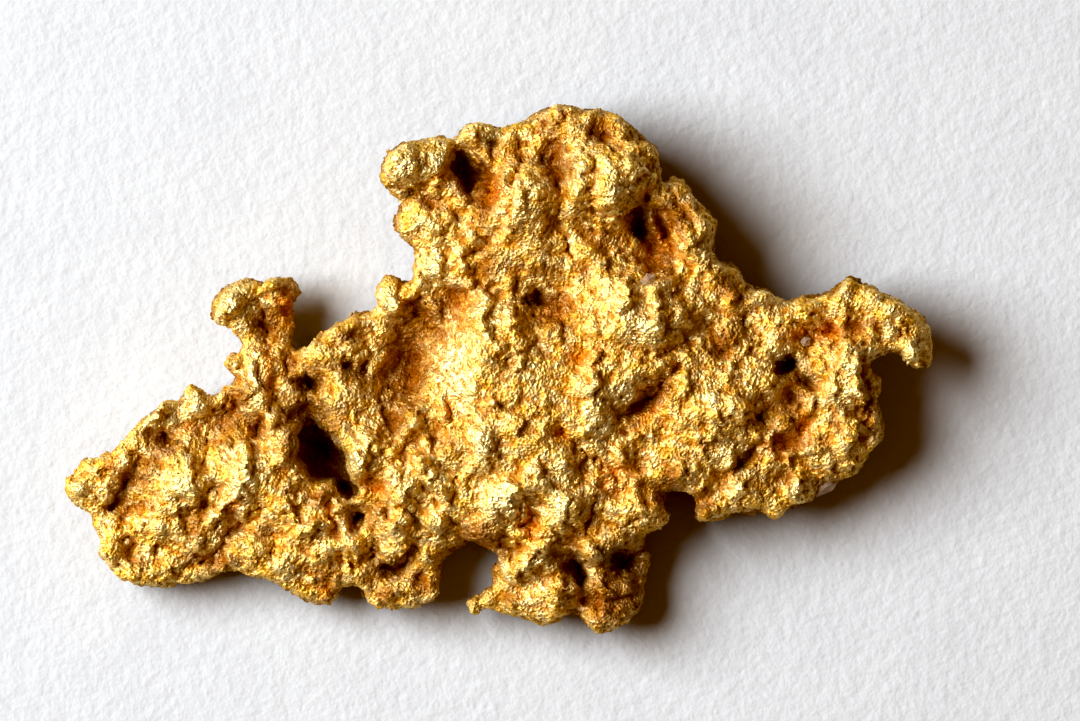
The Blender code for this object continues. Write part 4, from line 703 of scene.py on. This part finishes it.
def add_tooth(nodes, group, place, wave, sharpness):
    node = nodes.add("ShaderNodeGroup", node_tree=group)
    nodes.join(place, node.inputs["Vector"])
    node.inputs["Scale"].default_value = 1 / wave
    node.inputs["Sharpness"].default_value = sharpness
    return node.outputs["Height"]


def add_bump(nodes, shader, height, strength, depth):
    bump = nodes.add("ShaderNodeBump")
    bump.inputs["Strength"].default_value = strength
    bump.inputs["Distance"].default_value = depth
    nodes.join(height, bump.inputs["Height"])
    nodes.join(bump.outputs["Normal"], shader.inputs["Normal"])


def new_material(name):
    made = bpy.data.materials.new(name)
    made.use_nodes = True
    return made, Nodes(made.node_tree), made.node_tree.nodes["Principled BSDF"]


def gold_material(settings, tooth):
    made, nodes, shader = new_material("native gold")
    place = nodes.add("ShaderNodeTexCoord").outputs["Object"]
    hollow, depth, orange_shade, umber_shade, hole_shade, worn_and_highlit = [nodes.attribute(name) for name in MARKS]
    mottle = nodes.spread(nodes.noise(place, MOTTLE_WAVE, MOTTLE_DETAIL), *COMMON)
    # brown, low, deep, dark and pore are masks of painted shade; the worn places' mask brings a painted
    # highlight.
    brown = nodes.spread(hollow, 0.0, HOLLOW_FULL)
    low = nodes.spread(depth, *LOW_SHADE_DEPTHS)
    deep = nodes.share(nodes.spread(depth, *DEEP_SHADE_DEPTHS), DEEP_SHADE_MIX)
    dark = nodes.math("MAXIMUM", deep, nodes.share(hole_shade, HOLE_SHADE_MIX))
    grain = add_tooth(nodes, tooth, place, GRAIN_WAVE, 1.0)
    pore = nodes.spread(grain, *PORE_HEIGHTS)
    # Over the gold's own colour and random warm mottle: painted highlight on worn places, painted shade in
    # hollows, patches, low places, holes and pores.
    layers = (
        (mottle, settings.warm_colour),
        # Worn places: painted highlight.
        (nodes.share(worn_and_highlit, PAINTED_HIGHLIGHT_MIX), settings.painted_highlight_colour),
        # Small hollows: painted shade.
        (nodes.share(brown, HOLLOW_SHADE_MIX), settings.hollow_shade_colour),
        # Orange patches: painted shade.
        (nodes.share(orange_shade, ORANGE_SHADE_MIX), settings.orange_shade_colour),
        # Umber patches: painted shade.
        (nodes.share(umber_shade, UMBER_SHADE_MIX), settings.umber_shade_colour),
        # Lower-lying places: painted shade.
        (nodes.share(low, LOW_SHADE_MIX), settings.umber_shade_colour),
        # Deep places and holes: near-black painted shade.
        (dark, settings.deep_shade_colour),
        # Low places of the grain: painted shade.
        (nodes.share(pore, PORE_SHADE_MIX), settings.umber_shade_colour),
    )
    colour = (*settings.colour, 1)
    for share, layer in layers:
        colour = nodes.mix(share, colour, (*layer, 1))
    nodes.join(colour, shader.inputs["Base Color"])
    shader.inputs["Metallic"].default_value = 1.0
    least, most = settings.roughness - DULL_SWING, settings.roughness + DULL_SWING
    rough = nodes.spread(nodes.noise(place, DULL_WAVE), *WIDELY_COMMON, least, most)
    rough = nodes.math("ADD", rough, nodes.share(brown, HOLLOW_DULLS))
    rough = nodes.math("SUBTRACT", rough, nodes.share(worn_and_highlit, RUBBED_SHINES))
    nodes.join(rough, shader.inputs["Roughness"])
    height = nodes.math("ADD", grain, nodes.share(add_streaks(nodes, tooth, place), STREAK_SHARE))
    specks = add_tooth(nodes, tooth, place, SPECK_WAVE, SPECK_SHARPNESS)
    height = nodes.math("ADD", height, nodes.share(specks, SPECK_SHARE))
    add_bump(nodes, shader, height, 1.0, GRAIN_DEPTH)
    return made


def add_streaks(nodes, tooth, place):
    """The small bumps again, turned as the flakes are and drawn out, as a height."""
    turn = nodes.add("ShaderNodeMapping", vector_type="POINT")
    nodes.join(place, turn.inputs["Vector"])
    turn.inputs["Rotation"].default_value = (0, 0, -math.radians(FLAKE_TURN))
    stretch = nodes.add("ShaderNodeMapping", vector_type="POINT")
    nodes.join(turn.outputs[0], stretch.inputs["Vector"])
    stretch.inputs["Scale"].default_value = (1 / STREAK_STRETCH, 1, 1)
    return add_tooth(nodes, tooth, stretch.outputs[0], STREAK_WAVE, 1.0)


def quartz_material(settings, tooth):
    made, nodes, shader = new_material("cloudy quartz")
    place = nodes.add("ShaderNodeTexCoord").outputs["Object"]
    cloud = nodes.spread(nodes.noise(place, CLOUD_WAVE, MOTTLE_DETAIL), *COMMON)
    colour = nodes.mix(cloud, (*settings.colour, 1), (*settings.cloud_colour, 1))
    nodes.join(colour, shader.inputs["Base Color"])
    shader.inputs["Transmission Weight"].default_value = QUARTZ_CLEARNESS
    shader.inputs["IOR"].default_value = settings.ior
    nodes.join(nodes.spread(cloud, 0, 1, *QUARTZ_ROUGHNESS), shader.inputs["Roughness"])
    height = add_tooth(nodes, tooth, place, QUARTZ_TOOTH_WAVE, QUARTZ_TOOTH_SHARPNESS)
    add_bump(nodes, shader, height, QUARTZ_BUMP, QUARTZ_TOOTH_DEPTH)
    return made


def paper_material(settings, tooth):
    made, nodes, shader = new_material("pale paper")
    place = nodes.add("ShaderNodeTexCoord").outputs["Object"]
    mottle = nodes.spread(nodes.noise(place, PAPER_MOTTLE_WAVE, MOTTLE_DETAIL), *WIDELY_COMMON)
    shade = nodes.mix(mottle, (*settings.paper, 1), (*settings.paper_shade, 1))
    nodes.join(shade, shader.inputs["Base Color"])
    shader.inputs["Roughness"].default_value = PAPER_ROUGHNESS
    shader.inputs["Specular IOR Level"].default_value = PAPER_SHINE
    wide = add_tooth(nodes, tooth, place, WIDE_TOOTH_WAVE, WIDE_TOOTH_SHARPNESS)
    fine = add_tooth(nodes, tooth, place, FINE_TOOTH_WAVE, FINE_TOOTH_SHARPNESS)
    height = nodes.math("ADD", wide, nodes.share(fine, FINE_TOOTH_SHARE))
    add_bump(nodes, shader, height, PAPER_BUMP, settings.tooth_depth)
    return made


def crumb_places(mesh, draw):
    """Places on the mesh where crumbs grow, drawn by area, and the way the surface faces there."""
    mesh.calc_loop_triangles()
    corners = np.empty(len(mesh.loop_triangles) * 3, np.int32)
    mesh.loop_triangles.foreach_get("vertices", corners)
    corners = corners.reshape(-1, 3)
    points = vertex_array(mesh)
    first, second, third = points[corners[:, 0]], points[corners[:, 1]], points[corners[:, 2]]
    facing = np.cross(second - first, third - first)
    area = np.linalg.norm(facing, axis=1) / 2
    facing /= np.maximum(2 * area[:, None], 1e-20)
    weight = area * np.where(facing[:, 2] > CRUMBS_BELOW, 1.0, BELOW_SHARE)
    chosen = draw.choice(len(corners), CRUMB_COUNT, p=weight / weight.sum())
    shares = draw.dirichlet((1, 1, 1), CRUMB_COUNT)
    middles = (
        first[chosen] * shares[:, :1] + second[chosen] * shares[:, 1:2] + third[chosen] * shares[:, 2:]
    )
    return middles, facing[chosen]


def crumb_mesh(body, settings):
    """Small angular crumbs grown on the body's top and sides, as one mesh."""
    draw = np.random.default_rng(settings.crumb_seed)
    middles, up = crumb_places(body.data, draw)
    up = up + CRUMB_LEAN * draw.normal(size=(CRUMB_COUNT, 3))
    up /= np.linalg.norm(up, axis=1)[:, None]
    side = np.cross(up, draw.normal(size=(CRUMB_COUNT, 3)))
    side /= np.linalg.norm(side, axis=1)[:, None]
    other = np.cross(up, side)
    size = CRUMB_SIZES[0] + (CRUMB_SIZES[1] - CRUMB_SIZES[0]) * draw.random(CRUMB_COUNT) ** 2
    ball = bmesh.new()
    bmesh.ops.create_icosphere(ball, subdivisions=1, radius=1.0)
    ball_points = np.array([vertex.co for vertex in ball.verts])
    ball_faces = np.array([[vertex.index for vertex in face.verts] for face in ball.faces])
    ball.free()
    shape = ball_points[None] * (1 + CRUMB_RAGGED * draw.normal(size=(CRUMB_COUNT, len(ball_points), 1)))
    shape *= (size[:, None] * draw.uniform(*CRUMB_STRETCH, (CRUMB_COUNT, 3)))[:, None, :]
    made = (
        middles[:, None] + shape[..., :1] * side[:, None] + shape[..., 1:2] * other[:, None]
        + CRUMB_FLATNESS * shape[..., 2:] * up[:, None]
    )
    starts = np.arange(CRUMB_COUNT)[:, None, None] * len(ball_points)
    faces = (starts + ball_faces[None]).reshape(-1, 3)
    crumbs = bpy.data.meshes.new("gold_crumbs")
    crumbs.from_pydata(inside_box(made.reshape(-1, 3), NUGGET_BOX).tolist(), [], faces.tolist())
    return crumbs


class NuggetGoldSettings(bpy.types.PropertyGroup):
    voxel: FloatProperty(
        name="Mesh step", description="How fine the gold's mesh is", default=0.075 * MM, unit="LENGTH",
        precision=6,
    )
    relief: FloatProperty(
        name="Relief", description="How strong the plates, flakes and crumbs stand out", default=1.0,
        min=0, max=2,
    )
    faces: IntProperty(name="Faces", description="No more triangles than this", default=196000, min=1000)
    flake_seed: IntProperty(name="Flake seed", description="Another number gives other ledges", default=3)
    crumb_seed: IntProperty(name="Crumb seed", description="Another number gives other crumbs", default=7)
    noise_seed: IntProperty(
        name="Noise seed", description="Another number frays the forms otherwise", default=1, min=1
    )
    colour: FloatVectorProperty(
        name="Gold", description="Bare gold", default=(0.98, 0.83, 0.44), subtype="COLOR", min=0, max=1
    )
    warm_colour: FloatVectorProperty(
        name="Warm gold", description="Gold with more copper", default=(0.92, 0.66, 0.16),
        subtype="COLOR", min=0, max=1,
    )
    # Painted shade in small creases and hollows.
    hollow_shade_colour: FloatVectorProperty(
        name="Small hollows", description="Painted shade in the creases", default=(0.60, 0.30, 0.03),
        subtype="COLOR", min=0, max=1,
    )
    # Orange painted shade.
    orange_shade_colour: FloatVectorProperty(
        name="Stain", description="Orange painted shade", default=(0.80, 0.32, 0.02),
        subtype="COLOR", min=0, max=1,
    )
    # Dark brown painted shade, used by the umber patches, low places and grain pores.
    umber_shade_colour: FloatVectorProperty(
        name="Umber", description="Dark brown painted shade", default=(0.36, 0.13, 0.008),
        subtype="COLOR", min=0, max=1,
    )
    # Painted highlight on the worn places.
    painted_highlight_colour: FloatVectorProperty(
        name="Highlit worn gold", description="Painted highlight on worn places", default=(1.0, 0.90, 0.50),
        subtype="COLOR", min=0, max=1,
    )
    # Near-black painted shade in the deep holes.
    deep_shade_colour: FloatVectorProperty(
        name="Deep holes", description="Painted shade in the holes", default=(0.08, 0.018, 0.002),
        subtype="COLOR", min=0, max=1,
    )
    roughness: FloatProperty(
        name="Roughness", description="How dull the gold is", default=0.69, min=0.05, max=1
    )


class NuggetQuartzSettings(bpy.types.PropertyGroup):
    colour: FloatVectorProperty(
        name="Quartz", description="Clear parts", default=(0.98, 0.86, 0.62),
        subtype="COLOR", min=0, max=1,
    )
    cloud_colour: FloatVectorProperty(
        name="Cloud", description="Cloudy parts", default=(0.93, 0.72, 0.48),
        subtype="COLOR", min=0, max=1,
    )
    ior: FloatProperty(name="Bending of light", description="Quartz has 1.54", default=1.54, min=1, max=3)


class NuggetStageSettings(bpy.types.PropertyGroup):
    paper: FloatVectorProperty(
        name="Paper", description="The sheet's colour", default=(0.735, 0.755, 0.675),
        subtype="COLOR", min=0, max=1,
    )
    paper_shade: FloatVectorProperty(
        name="Paper shade", description="The darker mottle", default=(0.705, 0.725, 0.650),
        subtype="COLOR", min=0, max=1,
    )
    tooth_depth: FloatProperty(
        name="Tooth", description="How deep the tooth is", default=0.11 * MM, unit="LENGTH", precision=6
    )
    camera_height: FloatProperty(
        name="Camera height", description="Above the paper", default=0.6, unit="LENGTH"
    )
    key_distance: FloatProperty(
        name="Key distance", description="Of the main light", default=0.55, unit="LENGTH"
    )
    key_size: FloatProperty(name="Key size", description="Of the main light", default=0.42, unit="LENGTH")
    key_power: FloatProperty(name="Key power", description="Of the main light, in watts", default=6.6)
    key_height: FloatProperty(
        name="Key height", description="Above the horizon", default=math.radians(43), subtype="ANGLE"
    )
    key_turn: FloatProperty(
        name="Key turn", description="From west to north", default=math.radians(16), subtype="ANGLE"
    )
    contrast: FloatProperty(
        name="Contrast", description="Below 1 deepens the darks", default=0.72, min=0.5, max=1.5
    )
    black: FloatVectorProperty(
        name="Black point", description="What is darker than this shows black",
        default=(0.006, 0.020, 0.030), min=0, max=0.2,
    )
    fill: FloatProperty(name="Fill", description="Light from all around", default=0.15, min=0, max=1)
    fill_colour: FloatVectorProperty(
        name="Fill colour", description="Of that light", default=(1.0, 0.55, 0.30),
        subtype="COLOR", min=0, max=1,
    )
    key_colour: FloatVectorProperty(
        name="Key colour", description="Of the main light", default=(0.82, 0.85, 1.0),
        subtype="COLOR", min=0, max=1,
    )


class NUGGET_OT_gold(bpy.types.Operator):
    """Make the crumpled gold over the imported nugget"""

    bl_idname = "nugget.gold"
    bl_label = "Make the gold"

    def execute(self, context):
        settings = context.scene.nugget_gold
        noise.seed_set(settings.noise_seed)
        body = fine_body(settings)
        roughen(body, settings)
        fewer_faces(body, settings.faces)
        body.data.shade_smooth()
        mark_surface(body.data)
        body.data.materials.clear()
        tooth = bpy.data.node_groups.get("Tooth") or tooth_group()
        gold = gold_material(settings, tooth)
        body.data.materials.append(gold)
        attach(body, "root")
        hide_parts("nugget")
        crumbs = add_object("gold_crumbs", crumb_mesh(body, settings))
        copy_marks(body.data, crumbs.data)
        crumbs.data.materials.append(gold)
        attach(crumbs, "root")
        return {"FINISHED"}


class NUGGET_OT_quartz(bpy.types.Operator):
    """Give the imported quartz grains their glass"""

    bl_idname = "nugget.quartz"
    bl_label = "Dress the quartz"

    def execute(self, context):
        tooth = bpy.data.node_groups.get("Tooth") or tooth_group()
        quartz = quartz_material(context.scene.nugget_quartz, tooth)
        for name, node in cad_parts.items():
            if name.startswith("quartz"):
                node.material_slots[0].material = quartz
        return {"FINISHED"}


class NUGGET_OT_stage(bpy.types.Operator):
    """Lay the paper, and set the light and the camera"""

    bl_idname = "nugget.stage"
    bl_label = "Set the stage"

    def execute(self, context):
        settings = context.scene.nugget_stage
        tooth = bpy.data.node_groups.get("Tooth") or tooth_group()
        middle = at(*VIEW_MIDDLE)
        make_paper(middle, paper_material(settings, tooth))
        make_key(middle, settings)
        make_fill(context.scene, settings)
        make_camera(context.scene, middle, settings)
        context.scene.view_settings.view_transform = "Standard"
        context.scene.view_settings.gamma = settings.contrast
        context.scene.view_settings.use_curve_mapping = True
        curves = context.scene.view_settings.curve_mapping
        curves.black_level = settings.black
        curves.update()
        return {"FINISHED"}


def make_paper(middle, finish):
    shape = bmesh.new()
    bmesh.ops.create_grid(shape, x_segments=2, y_segments=2, size=PAPER_HALF)
    mesh = bpy.data.meshes.new("paper")
    shape.to_mesh(mesh)
    shape.free()
    mesh.materials.append(finish)
    paper = add_object("paper", mesh)
    paper.location = middle


def make_key(middle, settings):
    lamp = bpy.data.lights.new("key", "AREA")
    lamp.shape = "DISK"
    lamp.size = settings.key_size
    lamp.energy = settings.key_power
    lamp.color = settings.key_colour
    key = add_object("key", lamp)
    flat = math.cos(settings.key_height)
    west, north = math.cos(settings.key_turn) * flat, math.sin(settings.key_turn) * flat
    towards = Vector((-west, north, math.sin(settings.key_height)))
    key.location = middle + towards * settings.key_distance
    key.rotation_euler = towards.to_track_quat("Z", "Y").to_euler()


def make_fill(scene, settings):
    world = bpy.data.worlds.new("fill")
    world.use_nodes = True
    background = world.node_tree.nodes["Background"]
    background.inputs["Color"].default_value = (*settings.fill_colour, 1)
    background.inputs["Strength"].default_value = settings.fill
    scene.world = world


def make_camera(scene, middle, settings):
    lens = bpy.data.cameras.new("camera")
    lens.sensor_width = FILM_WIDTH
    seen_height = settings.camera_height - NUGGET_BOX[1].z / 2
    lens.lens = lens.sensor_width * seen_height / (SHEET_WIDTH * PIXEL)
    camera = add_object("camera", lens)
    camera.location = middle + Vector((0, 0, settings.camera_height))
    scene.camera = camera


class NUGGET_PT_panel(bpy.types.Panel):
    """Lists the steps and their settings"""

    bl_label = "Gold nugget"
    bl_space_type = "VIEW_3D"
    bl_region_type = "UI"
    bl_category = "Gold nugget"

    def draw(self, context):
        groups = (
            ("nugget.gold", context.scene.nugget_gold),
            ("nugget.quartz", context.scene.nugget_quartz),
            ("nugget.stage", context.scene.nugget_stage),
        )
        for step, settings in groups:
            box = self.layout.box()
            box.operator(step)
            for name in settings.__annotations__:
                box.prop(settings, name)


CLASSES = (
    NuggetGoldSettings, NuggetQuartzSettings, NuggetStageSettings,
    NUGGET_OT_gold, NUGGET_OT_quartz, NUGGET_OT_stage, NUGGET_PT_panel,
)


def register():
    for made in CLASSES:
        bpy.utils.register_class(made)
    bpy.types.Scene.nugget_gold = PointerProperty(type=NuggetGoldSettings)
    bpy.types.Scene.nugget_quartz = PointerProperty(type=NuggetQuartzSettings)
    bpy.types.Scene.nugget_stage = PointerProperty(type=NuggetStageSettings)


def unregister():
    del bpy.types.Scene.nugget_gold
    del bpy.types.Scene.nugget_quartz
    del bpy.types.Scene.nugget_stage
    for made in reversed(CLASSES):
        bpy.utils.unregister_class(made)


def main():
    register()
    bpy.ops.nugget.stage()
    bpy.ops.nugget.gold()
    bpy.ops.nugget.quartz()


if __name__ == "__main__":
    main()
